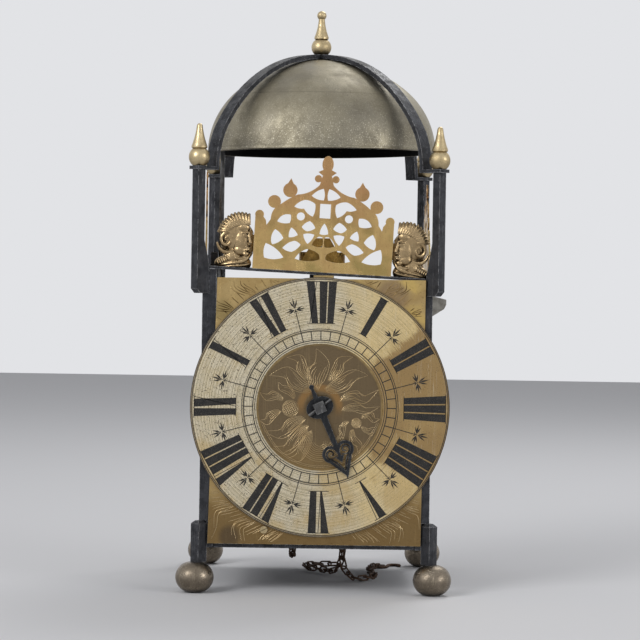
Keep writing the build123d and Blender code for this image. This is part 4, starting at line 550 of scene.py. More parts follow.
old_metal(
    "silvered", ((232, 221, 194), (212, 198, 164), (76, 66, 48), (240, 236, 222)),
    tarnished=0.7, corner_grime_and_shade=0.6, rubbed=0.3, specks=0.5, scratched=0.2, scale=160, smooth=0.34,
    rough=0.5, metallic=0.45, relief=0.00006, colour=worn_silvering, height=lathe_rings,
)
old_metal(
    "dial_brass", ((188, 162, 112), (160, 134, 88), (66, 50, 30), (222, 196, 134)),
    tarnished=0.7, corner_grime_and_shade=0.7, rubbed=0.4, specks=0.25, scratched=0.08, scale=80, smooth=0.3,
    rough=0.46, relief=0.00005, colour=browned_middle,
)

print("with the two of the dial there are", len(looks))

# %% Every CAD piece gets its finish
OWN_LOOK = {
    "chapter_ring": "silvered",
    "ball_feet": "feet_metal",
    "hour_hand": "hand_steel",
    "release_levers": "bare_steel",
}  # all others have the finish that their slot is named after
slots = {row["node"]: row["material_slot"] for row in frame["record"]["subparts"]}
for title, piece in parts.items():
    piece.data.materials.clear()
    piece.data.materials.append(looks[OWN_LOOK.get(title, slots[title])])
print(len(parts), "CAD pieces in", len(set(slots.values())), "finishes")

# %% [markdown]
# ## Modelling helpers
# Every piece below starts as one of Blender's primitives, is shaped, and ends with its place in
# its mesh and its object at the origin, as the CAD pieces are. Marks on the dial are thin
# inlays. A small plane is added for each stroke and its corners are moved to where the stroke
# lies, the strokes are joined, and one extrusion gives all of them their thickness.

# %% Helpers for pieces
def pick(*pieces):
    """Selects these pieces only, and makes the first of them the active one."""
    bpy.ops.object.select_all(action="DESELECT")
    for piece in pieces:
        piece.select_set(True)
    bpy.context.view_layer.objects.active = pieces[0]


def settle(piece, name, look, body):
    """Puts the place into the mesh, and gives the piece its name, finish, body and slot."""
    pick(piece)
    bpy.ops.object.transform_apply(location=True, rotation=True, scale=True)
    piece.name = name
    piece.data.name = name
    piece.data.materials.clear()
    piece.data.materials.append(look)
    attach(piece, body)
    print(f"{name}: {len(piece.data.polygons)} faces on {body}")
    return piece


def join(pieces):
    """Several new objects made one mesh."""
    pick(*pieces)
    bpy.ops.object.transform_apply(location=True, rotation=True, scale=True)
    bpy.ops.object.join()
    return bpy.context.object


def edit(piece, work):
    """Runs work in edit mode with everything selected."""
    pick(piece)
    bpy.ops.object.mode_set(mode="EDIT")
    bpy.ops.mesh.select_all(action="SELECT")
    work()
    bpy.ops.object.mode_set(mode="OBJECT")
    return piece


def face_out(piece):
    """Turns all faces outwards."""
    return edit(piece, lambda: bpy.ops.mesh.normals_make_consistent(inside=False))


# %% Strokes on the dial
RING_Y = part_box("chapter_ring")[0].y
PLATE_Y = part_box("dial_plate")[0].y
INLAY = 0.05 * MM  # an inlay stands this far proud of the metal


def patch(corners):
    """A four-cornered stroke on the ring. The corners are (right, up) in mm from its centre."""
    bpy.ops.mesh.primitive_plane_add(size=1)
    made = bpy.context.object
    for vertex, (right, up) in zip(made.data.vertices, corners):
        vertex.co = (DIAL[0] + right * MM, RING_Y, DIAL[1] + up * MM)
    return made


def around(angle, across, out):
    """The place across (clockwise) and out from the centre, at a clockwise angle from twelve."""
    sine, cosine = math.sin(angle), math.cos(angle)
    return (out * sine + across * cosine, out * cosine - across * sine)


def stroke(angle, start, end, start_w, end_w):
    """A straight stroke between points (across, out) of the angle's own frame, with two widths."""
    start, end = Vector(start), Vector(end)
    side = Vector((end.y - start.y, start.x - end.x)).normalized() / 2
    foot, head = side * start_w, side * end_w
    places = (start - foot, start + foot, end - head, end + head)
    return patch([around(angle, *place) for place in places])


def raise_inlay(piece):
    """Gives flat strokes their thickness, towards the viewer."""

    def push():
        bpy.ops.mesh.extrude_region_move(TRANSFORM_OT_translate={"value": (0, -INLAY, 0)})
        bpy.ops.mesh.select_all(action="SELECT")
        bpy.ops.mesh.normals_make_consistent(inside=False)

    return edit(piece, push)


def circle_line(radius, width):
    """A thin circle round the dial's centre, a flattened ring of four-sided section."""
    bpy.ops.mesh.primitive_torus_add(
        location=(DIAL[0], RING_Y, DIAL[1]),
        rotation=(math.pi / 2, 0, 0),
        major_radius=radius * MM,
        minor_radius=width / 2 * MM,
        major_segments=180,
        minor_segments=4,
    )
    ring = bpy.context.object
    ring.scale = (1, 1, 2 * INLAY / (width * MM))
    return ring


# %% [markdown]
# ## Hours, quarters and half hours
# The engraver cut each numeral with a broad graver and filled it with black wax, so the strokes
# are flat, dead black and a little rough. Feet point to the centre. The Xs and Vs have one
# thick stroke and one hairline, and four is written IIII. The inner band has forty-eight
# quarters, as the clock has one hand, and between the hours stands a stem with three buds.

# %% Wax
wax, tree, shader = new_look("black_wax_look")
where = node(tree, "TexCoord").outputs["Object"]
spots = place_effect(tree, mottling, Vector=where, Scale=260.0)
grey = tint(spots["Cloud"], rgb(20, 19, 19), rgb(36, 34, 33))
grey = tint(times(spots["Specks"], 0.5), grey, rgb(120, 112, 96))
matt = between(spots["Pits"], 0, 1, 0.5, 0.8)
bump = node(tree, "Bump", {"Height": spots["Pits"], "Distance": 0.00008})
fill(shader, {"Base Color": grey, "Roughness": matt, "Normal": bump.outputs[0]})
print("wax for the numerals and marks")

# %% Numerals
FOOT_R, HEAD_R = 54.6, 81.8  # mm from the dial's centre
HOURS = ["XII", "I", "II", "III", "IIII", "V", "VI", "VII", "VIII", "IX", "X", "XI"]
LETTER_W = {"I": 5.4, "V": 7.4, "X": 7.8}
BROAD_FOOT, BROAD_HEAD = 4.1, 5.2  # widths of a thick stroke at its two ends
HAIR = 0.4
SPREAD = HEAD_R / FOOT_R * 0.83  # how much wider a letter is at its head than at its foot
wax_strokes = []


def cut(angle, foot, head, foot_w=HAIR, head_w=HAIR):
    """A stroke of a letter, from its place at the foot to its place at the head."""
    wax_strokes.append(stroke(angle, (foot, FOOT_R), (head, HEAD_R), foot_w, head_w))


def serif(angle, middle, half, radius):
    """A hairline across the end of a letter."""
    wax_strokes.append(stroke(angle, (middle - half, radius), (middle + half, radius), HAIR, HAIR))


for hour, letters in enumerate(HOURS):
    angle = hour * math.pi / 6
    at = -sum(LETTER_W[letter] for letter in letters) / 2
    for letter in letters:
        middle = at + LETTER_W[letter] / 2
        at += LETTER_W[letter]
        foot, head = middle / SPREAD**0.5, middle * SPREAD**0.5
        if letter == "I":
            cut(angle, foot, head, BROAD_FOOT, BROAD_HEAD)
        elif letter == "V":
            cut(angle, foot + 0.7, head - 1.3, 1.0, BROAD_HEAD)
            cut(angle, foot + 1.0, head + 3.0)
        else:
            cut(angle, foot + 0.9, head - 1.2, BROAD_FOOT, BROAD_HEAD)
            cut(angle, foot - 2.5, head + 2.9)
        half = LETTER_W[letter] / 2 + 0.5
        serif(angle, foot, half, FOOT_R)
        serif(angle, head, half + 0.4, HEAD_R)
settle(raise_inlay(join(wax_strokes)), "hour_numerals", wax, "frame")

# %% Quarters and half hours
BAND_IN_R, BAND_OUT_R = 43.7, 49.7  # the band of quarters
BUD_R = 65.2  # where a stem opens into its buds
# Of these, 84.2 and 42.3 mm lie on the outer and inner edges of the ring: black lines there are
# painted shade of its thickness. 83.3 and 50.9 mm are fine engraved lines.
CIRCLES_AND_EDGE_SHADE = (83.3, 84.2, 50.9, 42.3)
marks = []
for quarter in range(48):
    angle = quarter * math.pi / 24
    marks.append(stroke(angle, (0, BAND_IN_R), (0, BAND_OUT_R), 0.6, 0.6))


def bud(angle, base, lean, length, width):
    """One spindle-shaped petal from base, leaning from straight out."""
    tip = (base[0] + length * math.sin(lean), base[1] + length * math.cos(lean))
    belly = Vector(((base[0] + tip[0]) / 2, (base[1] + tip[1]) / 2))
    side = Vector((math.cos(lean), -math.sin(lean))) * width / 2
    return patch([around(angle, *place) for place in (base, belly - side, belly + side, tip)])


for half_hour in range(12):
    angle = (half_hour + 0.5) * math.pi / 6
    marks.append(stroke(angle, (0, BAND_OUT_R), (0, BUD_R + 0.5), 0.5, 0.5))
    for lean in (-0.42, 0.0, 0.42):
        marks.append(bud(angle, (0, BUD_R + 0.8), lean, 7.4 - 3 * abs(lean), 1.1))
    for side in (-1, 1):
        for lean, length in ((1.25, 5.0), (1.62, 6.2), (1.98, 5.0)):
            marks.append(bud(angle, (0.5 * side, BUD_R), side * lean, length, 0.95))
    for lean in (-0.7, 0.7):
        marks.append(bud(angle, (0, BUD_R - 0.4), math.pi + lean, 2.2, 0.6))
marks = raise_inlay(join(marks))
lines = join(
    [marks]
    + [circle_line(radius, 0.6) for radius in (BAND_IN_R, BAND_OUT_R)]
    + [circle_line(radius, 0.45) for radius in CIRCLES_AND_EDGE_SHADE]
)
settle(lines, "quarter_and_half_hour_marks", wax, "frame")

# %% [markdown]
# ## Engraving of the dial
# The middle of the dial is covered in petals, seed heads and long leaves, cut with a graver and
# shaded with fine parallel lines. Such a line shines, because its walls catch the light at all
# angles. Each is a NURBS curve with a thin bevel, thick in its middle and fine at its ends,
# laid half into the plate and then made a mesh. Drawing on curves keeps every stroke smooth,
# and a few small functions for a petal, a leaf and a spiral draw the whole garden.

# %% Graver strokes
random.seed(7)
FLATTEN = 0.35  # a stroke's depth, as a share of its half width
SWELL = ((0.15, 0.62), (0.4, 1.0), (0.68, 0.74), (0.88, 0.26))  # shares of a leaf's way and width


def point_at(base, angle, along, side):
    """A point (right, up) that lies along a direction from base and to its left side."""
    return (
        base[0] + along * math.cos(angle) - side * math.sin(angle),
        base[1] + along * math.sin(angle) + side * math.cos(angle),
    )


def frond(cuts, path, left, right, shading):
    """A pointed leaf that bends: path is its middle line, left and right how far it swells."""
    sides = []
    for swell in (left, -right):
        edge = [path[0]]
        for share, full in SWELL:
            place, ahead = along_path(path, share), heading(path, share)
            edge.append((place[0] - ahead[1] * swell * full, place[1] + ahead[0] * swell * full))
        edge.append(path[-1])
        sides.append(edge)
        cuts.append(edge)
    for k in range(shading):
        share = (k + 1) / (shading + 1)
        high = 0.40 + 0.8 * abs(0.5 - share) * (0.6 + 0.5 * random.random())
        line = []
        for step in range(4):
            along = 0.06 + (high - 0.06) * step / 3
            one, other = along_path(sides[0], along), along_path(sides[1], along)
            line.append(tuple(a + (b - a) * share for a, b in zip(one, other)))
        cuts.append(line)


def along_path(path, share):
    """A point on the smooth curve through a few points."""
    steps = share * (len(path) - 1)
    k = min(int(steps), len(path) - 2)
    left = steps - k
    before, after = path[max(k - 1, 0)], path[min(k + 2, len(path) - 1)]
    spots = []
    for axis in (0, 1):
        a, b, c, d = before[axis], path[k][axis], path[k + 1][axis], after[axis]
        bend = (2 * a - 5 * b + 4 * c - d) * left**2 + (3 * b - a - 3 * c + d) * left**3
        spots.append(0.5 * (2 * b + (c - a) * left + bend))
    return tuple(spots)


def heading(path, share):
    """The direction of the curve there."""
    a, b = along_path(path, max(share - 0.02, 0)), along_path(path, min(share + 0.02, 1))
    length = math.hypot(b[0] - a[0], b[1] - a[1]) or 1
    return ((b[0] - a[0]) / length, (b[1] - a[1]) / length)


def spiral(cuts, middle, start_r, end_r, start, turns):
    """A scroll that winds in."""
    count = int(8 * abs(turns)) + 3
    path = []
    for k in range(count):
        share = k / (count - 1)
        r = start_r + (end_r - start_r) * share
        a = start + 2 * math.pi * turns * share
        path.append((middle[0] + r * math.cos(a), middle[1] + r * math.sin(a)))
    cuts.append(path)


def clipped(cuts, inside, steps=12):
    """The stretches of each stroke that lie inside a shape."""
    kept = []
    for line in cuts:
        run = []
        for step in range(steps + 1):
            place = along_path(line, step / steps)
            if inside(*place):
                run.append(place)
            if run and (step == steps or not inside(*place)):
                if len(run) > 2:
                    kept.append(run)
                run = []
    return kept


def engrave(cuts, y, graver):
    """All strokes of a drawing as one mesh, half sunk at y. graver is half a stroke's width."""
    curve = bpy.data.curves.new("strokes", "CURVE")
    curve.dimensions = "3D"
    curve.bevel_depth = graver
    curve.bevel_resolution = 0
    curve.use_fill_caps = True
    curve.resolution_u = 2
    for places in cuts:
        count = len(places)
        line = curve.splines.new("NURBS")
        line.points.add(count - 1)
        for k, (right, up) in enumerate(places):
            line.points[k].co = (DIAL[0] + right * MM, 0, DIAL[1] + up * MM, 1)
            line.points[k].radius = 0.35 + 0.75 * math.sin(math.pi * (k + 0.35) / (count - 0.3))
        line.order_u = min(4, count)
        line.use_endpoint_u = True
    pick(into_scene("strokes", curve))
    bpy.ops.object.convert(target="MESH")
    drawn = bpy.context.object
    drawn.location = (0, y, 0)
    drawn.scale = (1, FLATTEN, 1)
    return drawn


# cut_line is pale for the shine of a cut's walls, a painted highlight. corner_line is drawn dark.
old_metal(
    "cut_line", ((222, 198, 154), (180, 154, 112), (92, 72, 44), (240, 220, 176)),
    tarnished=0.9, corner_grime_and_shade=0.2, rubbed=0.0, specks=0.1, scratched=0.0, scale=90, smooth=0.22,
    rough=0.4, relief=0.00001,
)
old_metal(
    "corner_line", ((84, 64, 36), (196, 168, 116), (52, 38, 22), (214, 186, 132)),
    tarnished=0.8, corner_grime_and_shade=0.3, rubbed=0.0, specks=0.1, scratched=0.0, scale=90, smooth=0.3,
    rough=0.5, relief=0.00001,
)

# %% Plan of the garden in the middle
def seed_head(cuts, middle, r):
    """The round crosshatched heart of a flower."""
    for winding in (1.0, 0.88):
        spiral(cuts, middle, r * winding, r * winding, 0.4, 1.0)
    for k in range(-3, 4):
        aside = k * r * 0.22
        half = math.sqrt(max(0.0, 0.66 * r * r - aside**2))
        for turn in (0.5, -1.07):
            cuts.append([point_at(middle, turn, along, aside) for along in (-half, 0, half)])


garden = []
for middle_line, left, right, shading in (
    ([(-1, 11), (-4, 19), (1, 28), (-3, 38)], 6.5, 7.0, 7),  # the great flower above the hand
    ([(3, 12), (12, 13), (21, 21), (31, 21)], 5.5, 5.0, 7),
    ([(5, 17), (11, 23), (13, 30), (21, 33)], 4.0, 3.5, 5),
    ([(-4, 12), (-14, 13), (-21, 22), (-33, 20)], 5.0, 6.0, 7),
    ([(-6, 18), (-12, 23), (-13, 31), (-22, 32)], 3.5, 4.0, 5),
    ([(-24, 4), (-29, 8), (-34, 6), (-39, 9)], 3.5, 2.6, 4),  # leaves round the seed head
    ([(-25, -3), (-31, -5), (-34, -10), (-39, -9)], 3.0, 3.0, 4),
    ([(-17, 5), (-19, 10), (-25, 12), (-27, 16)], 2.6, 2.6, 3),
    ([(13, 4), (21, 9), (28, 5), (38, 12)], 3.4, 3.8, 5),  # the spray on the right
    ([(14, -2), (22, 1), (29, -2), (39, 1)], 2.8, 3.2, 4),
    ([(27, -7), (32, -4), (35, -8), (39, -7)], 2.4, 2.4, 3),
    ([(27, -12), (32, -16), (35, -14), (38, -17)], 2.4, 2.4, 3),
    ([(22, -14), (21, -20), (26, -24), (25, -30)], 2.8, 2.8, 4),
    ([(19, -9), (15, -12), (15, -18), (11, -20)], 2.0, 2.4, 3),
    ([(-9, -8), (-17, -10), (-24, -18), (-36, -16)], 4.4, 4.4, 7),  # the broad leaves on the left
    ([(-7, -12), (-14, -18), (-20, -28), (-31, -26)], 4.6, 4.6, 7),
    ([(-5, -15), (-9, -24), (-13, -33), (-22, -34)], 3.6, 3.6, 5),
    ([(16, -26), (20, -31), (18, -36), (22, -38)], 2.4, 2.4, 3),
):
    frond(garden, middle_line, left, right, shading)
print(len(garden), "strokes of leaves and petals")

# %% Seed heads, scrolls and the finished drawing
seed_head(garden, (-19, -1), 5.6)
seed_head(garden, (24, -10), 3.4)
for r in (4.4, 3.2, 1.8):
    spiral(garden, (12, 20), r, r, 1.0, 0.8)
for k in range(9):
    spiral(garden, (1, -22), 15.5 - 1.35 * k, 12.5 - 1.35 * k, 2.5 + 0.1 * k, 0.5)
    spiral(garden, (5, -23), 12.0 - 1.2 * k, 9.5 - 1.1 * k, 0.9 - 0.1 * k, -0.42)
for r in (38.6, 39.6):
    spiral(garden, (0, 0), r, r, 3.4, 0.42)
BOSS_R, EDGE_R = 9.5, 40.4  # the drawing keeps clear of the hand's boss and of the ring
garden = clipped(garden, lambda right, up: BOSS_R < math.hypot(right, up) < EDGE_R)
flowers = engrave(garden, PLATE_Y, 0.19 * MM)
settle(flowers, "engraved_flowers", looks["cut_line"], "frame")
print(len(garden), "graver strokes in the middle")

# %% [markdown]
# The four corners of the plate have leaves too. They start at the ring and wave out to the
# edges, with a fan of short lines between them at the ring. The cuts of the top corners are drawn
# dark; those of the bottom corners are pale, a painted highlight where they catch the light.

# %% Leaves in the corners
PLATE_FOOT, PLATE_HEAD = 31.8, 204.9  # heights in mm
LOW_UP, HIGH_UP = PLATE_FOOT - DIAL_UP + 1.2, PLATE_HEAD - DIAL_UP - 1.0  # just inside its edges
LEFT_EDGE, RIGHT_EDGE, LEAN_IN = -70.4, 66.0, 2.2
CLEAR_R, START_R, FAN_R = 85.2, 83, 84  # nothing is cut within the first of these radii
LEAF_HALF_W, LONGEST = 4.4, 34  # half the width of a leaf, and the length of one on the diagonal


def on_plate(right, up):
    """Outside the ring and inside the edges of the plate, which leans in towards its top."""
    left = LEFT_EDGE + LEAN_IN * (up - LOW_UP) / (HIGH_UP - LOW_UP)
    return math.hypot(right, up) > CLEAR_R and left < right < RIGHT_EDGE and LOW_UP < up < HIGH_UP


def corner_leaves(side, level, turns, fans, slant):
    """Waving leaves from the ring outwards, and the slanting fan between them."""
    cuts = []

    def place(r, angle):
        return (side * r * math.sin(angle), level * r * math.cos(angle))

    for turn in turns:
        a = math.radians(turn + random.uniform(-1, 1))
        long = LONGEST - abs(turn - 45) * 0.3
        waves = [a + 0.055 * math.sin(0.85 * k - 1.0) for k in range(9)]
        path = [place(START_R + long * k / 8, wave) for k, wave in enumerate(waves)]
        frond(cuts, path, LEAF_HALF_W, LEAF_HALF_W, 3)
    for k in range(fans):
        a = math.radians(14 + 64 * k / fans + random.uniform(-0.8, 0.8))
        end = FAN_R + 5 + random.uniform(0, 7)
        radii = (FAN_R, (FAN_R + end) / 2, end)
        cuts.append([place(r, a + slant * (r - FAN_R)) for r in radii])
    return clipped(cuts, on_plate)


TOP_TURNS, BOTTOM_TURNS = (20, 32, 45, 58, 70), (18, 30, 43, 56, 68)
top = corner_leaves(-1, 1, TOP_TURNS, 18, 0.002) + corner_leaves(1, 1, TOP_TURNS, 18, 0.002)
bottom = corner_leaves(-1, -1, BOTTOM_TURNS, 40, 0.008)
bottom += corner_leaves(1, -1, BOTTOM_TURNS, 34, 0.006)
for name, cuts, look, graver in (
    ("engraved_top_leaves", top, "corner_line", 0.26),
    ("engraved_bottom_leaves", bottom, "cut_line", 0.24),
):
    settle(engrave(cuts, PLATE_Y, graver * MM), name, looks[look], "frame")

# %% [markdown]
# The heart of the hand is filed into two scrolls that wind in from its lobes, and two curls
# that run down to its point. They turn with the hand.

# %% Scrolls in the hand
HAND_ANGLE = math.radians(156.7)  # clockwise from twelve, as the hand stands at rest
LOBE_ACROSS, LOBE_OUT = 5.0, 31.0  # the middle of a lobe, beside the hand's axis and out along it
CURL = ((7.6, 33.6), (3.8, 35.2), (2.0, 39.6), (0.3, 43.8))
hand_low, hand_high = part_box("hour_hand")
scrolls = []
for side in (-1, 1):
    wound = []
    for k in range(15):
        turn, r = math.radians(150 - 32 * k), 3.75 - 0.19 * k
        across, out = LOBE_ACROSS + r * math.cos(turn), LOBE_OUT + r * math.sin(turn)
        wound.append(around(HAND_ANGLE, side * across, out))
    scrolls += [wound, [around(HAND_ANGLE, side * across, out) for across, out in CURL]]
filed = engrave(scrolls, (hand_low.y + hand_high.y) / 2, 0.5 * MM)
settle(filed, "hand_scrolls", looks["hand_steel"], "hour")

# %% [markdown]
# ## Bell
# The bell is cast and turned. Its wall is a line of points round two arcs, a tight one for the
# flank and a flat one for the crown, once outside and once a wall's thickness further in, with
# a small raised lip at the rim. The Screw modifier turns the line round the axis. It hangs a
# little out of true, as an old bell on one bolt does.

# %% Turn the bell
BELL_R, BELL_H, FLANK_R, WALL = 77.5, 63.5, 55.0, 2.6
BELL_TOP = 353.4  # height of the crown, right under the strap
BELL_RIGHT, ASKEW = 0.4, 0.8  # mm and degrees that it hangs off the strap's middle and the level
HOLE_R = 3.2
LATHE_STEPS = 160


def bell_wall(inset, low, count):
    """Points (radius, height above the rim) from the rim to the crown, inset from the outside."""
    flank_x = BELL_R - FLANK_R
    crown_r = (flank_x**2 + BELL_H**2 - FLANK_R**2) / (2 * (BELL_H - FLANK_R))
    joint = math.atan2(crown_r - BELL_H, flank_x)
    points = []
    for k in range(count):
        a = low + (math.pi / 2 - low) * k / (count - 1)
        on_flank = a < joint
        r = (FLANK_R if on_flank else crown_r) - inset
        middle = (flank_x, 0) if on_flank else (0, BELL_H - crown_r)
        points.append((middle[0] + r * math.cos(a), middle[1] + r * math.sin(a)))
    return [place for place in points if place[0] > HOLE_R]


outside, inside = bell_wall(0, 0.05, 44), bell_wall(WALL, 0.02, 36)
lip = ((-WALL, 0.0), (-0.5, 0.0), (0.25, 0.5), (0.3, 1.4), (-0.05, 2.1))
profile = inside[::-1] + [(BELL_R + out, up) for out, up in lip] + outside
wall = bmesh.new()
line = [wall.verts.new((r * MM, 0, (up - BELL_H) * MM)) for r, up in profile]
for one, other in zip(line, line[1:] + line[:1]):
    wall.edges.new((one, other))
mesh = bpy.data.meshes.new("bell_wall")
wall.to_mesh(mesh)
wall.free()
turned = into_scene("bell_wall", mesh)
pick(turned)
lathe = turned.modifiers.new("lathe", "SCREW")
lathe.steps = lathe.render_steps = LATHE_STEPS
lathe.use_merge_vertices = True
lathe.merge_threshold = 1e-6
bpy.ops.object.modifier_apply(modifier="lathe")
turned.rotation_euler = (0, -math.radians(ASKEW), 0)
turned.location = (BELL_RIGHT * MM, 0, BELL_TOP * MM)
settle(turned, "turned_bell", looks["bell_metal"], "frame")
face_out(turned)
bpy.ops.object.shade_smooth_by_angle(angle=math.radians(40))
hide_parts("bell")

# %% [markdown]
# ## Cast masks
# At each end of the cresting sits a small cast head that looks inwards, with a ruff of locks
# combed back from the face, a curl over the ear, a pleated collar and the folds of a robe. A
# caster would build such a model in wax, adding lumps and rolls and then smoothing them
# together. Here the lumps are scaled spheres and the rolls are thick curves. Remeshing to a
# fine voxel grid melts them into one skin, a smoothing pass takes off the steps, and three cuts
# give the flat back, foot and side. The face is a plain calm one on school proportions: the
# eyes halfway up the head, the nose and mouth at a third and two thirds below.

# %% Lumps and rolls
MASK_BACK = -69.0 * MM  # the flat back of both masks
FRET_SIDE = 14.0 * MM  # the ground of a head runs this far in, behind the cresting
HEAD_FOOT = 17.4  # mm below its middle, where a head is filed off
HEAD_STRETCH = 1.1  # upwards, after that
HEAD_UP = 19.35  # mm from the foot of the CAD mask to the middle of a head
VOXEL = 0.28 * MM


def lump(place, radii, tilt=0.0):
    """A scaled sphere. place and radii are (towards the face, up, towards the viewer) in mm."""
    across, up, out = place
    bpy.ops.mesh.primitive_uv_sphere_add(
        segments=20,
        ring_count=12,
        radius=MM,
        location=(across * MM, -out * MM, up * MM),
        rotation=(0, -math.radians(tilt), 0),
        scale=(radii[0], radii[2], radii[1]),
    )
    return bpy.context.object


def roll(places, radii):
    """A thick smooth line through places, with a radius in mm at each."""
    bpy.ops.curve.primitive_nurbs_path_add()
    made = bpy.context.object
    made.data.splines.clear()
    made.data.bevel_depth = MM
    made.data.bevel_resolution = 2
    made.data.use_fill_caps = True
    made.data.resolution_u = 6
    line = made.data.splines.new("NURBS")
    line.points.add(len(places) - 1)
    for point, (across, up, out), radius in zip(line.points, places, radii):
        point.co = (across * MM, -out * MM, up * MM, 1)
        point.radius = radius
    line.order_u = min(4, len(places))
    line.use_endpoint_u = True
    made.select_set(True)
    bpy.ops.object.convert(target="MESH")
    return bpy.context.object


# %% The head and its face
def head_lumps():
    """The head, turned a little out of profile, with the face to the right."""
    made = [
        lump((2.0, -2.4, -1.0), (12.4, 14.4, 2.5)),  # the ground that everything stands on
        lump((-0.4, 3.0, 1.0), (9.6, 10.8, 4.6)),  # skull
        lump((4.2, -1.2, 1.9), (6.4, 10.0, 4.3)),  # face
        lump((5.0, 6.6, 3.0), (4.6, 3.8, 2.9)),  # forehead
        lump((3.9, -1.6, 4.4), (3.0, 2.6, 1.8)),  # cheek
        lump((3.6, -6.8, 3.2), (4.6, 3.2, 2.8)),  # jaw
        lump((7.4, -8.9, 3.9), (2.2, 1.7, 1.8)),  # chin
        lump((6.6, 3.6, 5.2), (3.1, 0.8, 1.1), 6),  # brow
        lump((6.9, 1.6, 5.1), (1.5, 1.0, 1.1)),  # eye
        lump((9.5, -3.1, 5.3), (1.2, 0.8, 1.0)),  # wing of the nose
        lump((8.7, -5.2, 5.1), (1.9, 0.6, 1.0), -4),  # lips
        lump((8.5, -6.4, 4.9), (1.6, 0.65, 1.0), 4),
        lump((-1.0, -10.6, 1.4), (6.2, 4.6, 3.2)),  # neck
        lump((-3.4, -14.8, 0.6), (9.4, 4.6, 3.0)),  # shoulder
        lump((5.0, -14.6, 0.2), (6.4, 4.6, 2.8)),  # breast
    ]
    upper_lid = [(5.2, 1.5, 5.4), (6.1, 2.7, 6.3), (7.7, 2.7, 6.3), (8.6, 1.5, 5.5)]
    lower_lid = [(5.3, 1.3, 5.4), (6.8, 0.3, 5.9), (8.5, 1.3, 5.4)]
    nose = [(8.9, 4.2, 4.4), (9.2, 2.0, 5.2), (9.8, -0.6, 5.8), (10.3, -2.7, 6.0)]
    made.append(roll(upper_lid, [0.25, 0.36, 0.36, 0.25]))
    made.append(roll(lower_lid, [0.2, 0.3, 0.2]))
    made.append(roll(nose, [0.8, 0.9, 1.05, 1.2]))
    # The ear is lost in a curl that winds once and a half, with a second lock below it.
    curl = []
    for k, r in enumerate(falling(5.0, 0.9, 12)):
        a = math.radians(70 + 45 * k)
        curl.append((-5.2 + r * math.cos(a), -1.0 + r * math.sin(a), 4.5))
    made.append(roll(curl, falling(1.15, 0.8, 12)))
    under = [math.radians(185 + 26 * k) for k in range(6)]
    under = [(-5.0 + 6.6 * math.cos(a), -2.0 + 6.6 * math.sin(a), 3.4) for a in under]
    made.append(roll(under, [0.7, 1.1, 1.2, 1.2, 1.0, 0.6]))
    return made


def falling(first, last, count):
    """Evenly falling numbers."""
    return [first + (last - first) * k / (count - 1) for k in range(count)]


# %% Hair, collar and robe
def lock_rolls():
    """Ribbed locks combed up and back from the forehead, side by side down to the ear."""
    made = []
    count = 12
    for k in range(count):
        share = k / (count - 1)
        bulge = math.sin(math.pi * share)
        foot = Vector((9.4 - 14.0 * share, 8.2 - 4.0 * share + 1.6 * bulge))
        a = math.radians(98 + 84 * share)
        way, across = Vector((math.cos(a), math.sin(a))), Vector((-math.sin(a), math.cos(a)))
        reach = 6.6 + 2.2 * bulge
        places = []
        for t, out in ((0.0, 5.2), (0.35, 5.3), (0.7, 4.3), (1.0, 2.2)):
            place = foot + way * reach * t + across * 0.9 * t * (1 - t)
            places.append((place.x, place.y, out))
        made.append(roll(places, [0.6, 0.9, 1.1, 0.95]))
    return made


def collar_lumps():
    """A pleated ruff across the shoulder and the folds of a robe that meet below the chin."""
    made = []
    count = 9
    for k in range(count):
        share = k / (count - 1)
        place = (-10.4 + 10.4 * share, -14.6 + 4.4 * share, 3.0 + 1.0 * math.sin(math.pi * share))
        made.append(lump(place, (0.62, 1.7, 1.0), 24))
    folds = [
        [(-9.8, -16.4, 1.8), (-2, -14.6, 4), (4.6, -14.2, 4.2), (9.6, -11.8, 3.4), (10.6, -8, 2)],
        [(-8.0, -17.2, 2.0), (-0.5, -16.4, 3.8), (5.6, -16.4, 4.0), (10.4, -14.6, 3.0)],
        [(0.4, -11.2, 3.8), (3.2, -12.6, 4.2), (7.0, -11.8, 4.1), (9.4, -9.4, 3.0)],
    ]
    for line in folds:
        made.append(roll(line, [0.7] + [1.1] * (len(line) - 2) + [0.6]))
    return made


# %% Cast both heads
def cast_head(name, title, middle, flip, lean):
    """Melts the lumps into one casting and sets it where the CAD mask is. lean is in degrees."""
    head = join(head_lumps() + lock_rolls() + collar_lumps())
    head.data.remesh_voxel_size = VOXEL
    bpy.ops.object.voxel_remesh()
    smooth = head.modifiers.new("melt", "SMOOTH")
    smooth.factor = 0.5
    smooth.iterations = 2
    bpy.ops.object.modifier_apply(modifier="melt")
    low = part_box(title)[0]
    # Filed flat behind, below, and along the side that meets the cresting.
    for point, outward in (
        ((0, 0, 0), (0, 1, 0)),
        ((0, 0, -HEAD_FOOT * MM), (0, 0, -1)),
        ((FRET_SIDE, 0, 0), (1, 0, 0)),
    ):
        file = {"plane_co": point, "plane_no": outward, "clear_outer": True, "use_fill": True}
        edit(head, lambda: bpy.ops.mesh.bisect(**file))
    bpy.ops.object.voxel_remesh()  # once more, so that the filed faces close with the rest
    head.scale = (-1 if flip else 1, 1, HEAD_STRETCH)
    head.rotation_euler = (0, math.radians(lean), 0)
    head.location = (middle * MM, MASK_BACK, low.z + HEAD_UP * MM)
    settle(head, name, looks["mask_bronze"], "frame")
    face_out(head)
    bpy.ops.object.shade_smooth()
    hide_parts(title)


cast_head("left_cast_head", "left_mask", middle=-54.4, flip=False, lean=2.0)
cast_head("right_cast_head", "right_mask", middle=60.9, flip=True, lean=3.0)

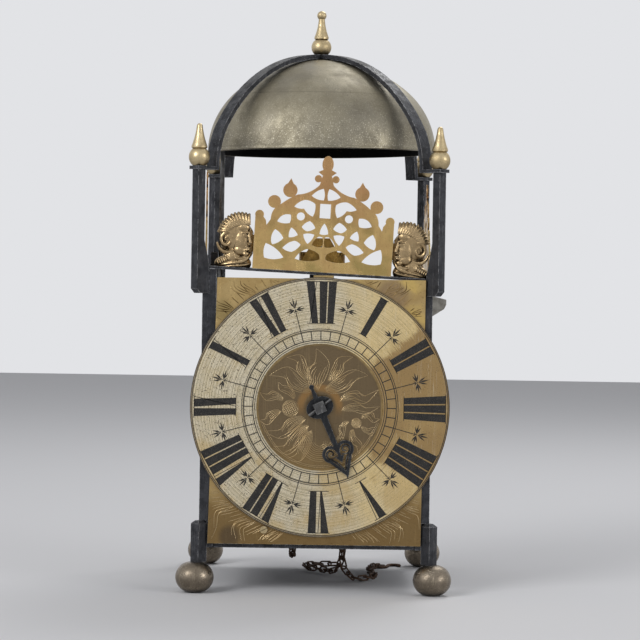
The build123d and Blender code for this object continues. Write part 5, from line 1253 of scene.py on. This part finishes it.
# %% [markdown]
# ## Chain
# CAD draws each link as a flat six-sided eye. Real links are bent from round wire. One link is
# made from a ring that is pulled longer along one side of its middle, and copied to every
# place: the loose triangles of the CAD chain are merged in a copy, each island of it is a link,
# and its longest and second longest directions say how the link lies.

# %% One link, and where the links lie
LINK_L, LINK_W, WIRE = 9.4 * MM, 5.0 * MM, 1.25 * MM

bpy.ops.mesh.primitive_torus_add(
    major_radius=(LINK_W - WIRE) / 2, minor_radius=WIRE / 2, major_segments=14, minor_segments=6
)
link = bpy.context.object
pull = (LINK_L - LINK_W) / 2
for vertex in link.data.vertices:
    vertex.co.x += math.copysign(pull, vertex.co.x) if abs(vertex.co.x) > 1e-6 else 0

survey = bmesh.new()
survey.from_mesh(parts["chain"].data)
bmesh.ops.remove_doubles(survey, verts=survey.verts, dist=1e-6)
unseen = set(survey.verts)
places = []  # middle, length and width directions of each link
while unseen:
    island, queue = [], [min(unseen, key=lambda v: v.index)]
    unseen.discard(queue[0])
    while queue:
        vertex = queue.pop()
        island.append(vertex.co.copy())
        for line in vertex.link_edges:
            other = line.other_vert(vertex)
            if other in unseen:
                unseen.discard(other)
                queue.append(other)
    middle = sum(island, Vector()) / len(island)
    far = max(island, key=lambda co: (co - middle).length)
    opposite = max(island, key=lambda co: (co - far).length)
    ahead = (far - opposite).normalized()
    arms = (co - middle for co in island)
    side = max(arms, key=lambda arm: (arm - ahead * arm.dot(ahead)).length)
    side = (side - ahead * side.dot(ahead)).normalized()
    places.append((middle, ahead, side))
survey.free()
print(len(places), "links")

# %% Copies on every place
copies = []
for middle, ahead, side in places:
    copy = link.copy()
    copy.data = link.data.copy()
    bpy.context.scene.collection.objects.link(copy)
    turn = Matrix((ahead, side, ahead.cross(side))).transposed()
    copy.matrix_world = Matrix.Translation(middle) @ turn.to_4x4()
    copies.append(copy)
bpy.data.objects.remove(link)
wire_chain = settle(join(copies), "wire_chain", looks["rusty_iron"], "frame")
bpy.ops.object.shade_smooth()
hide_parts("chain")
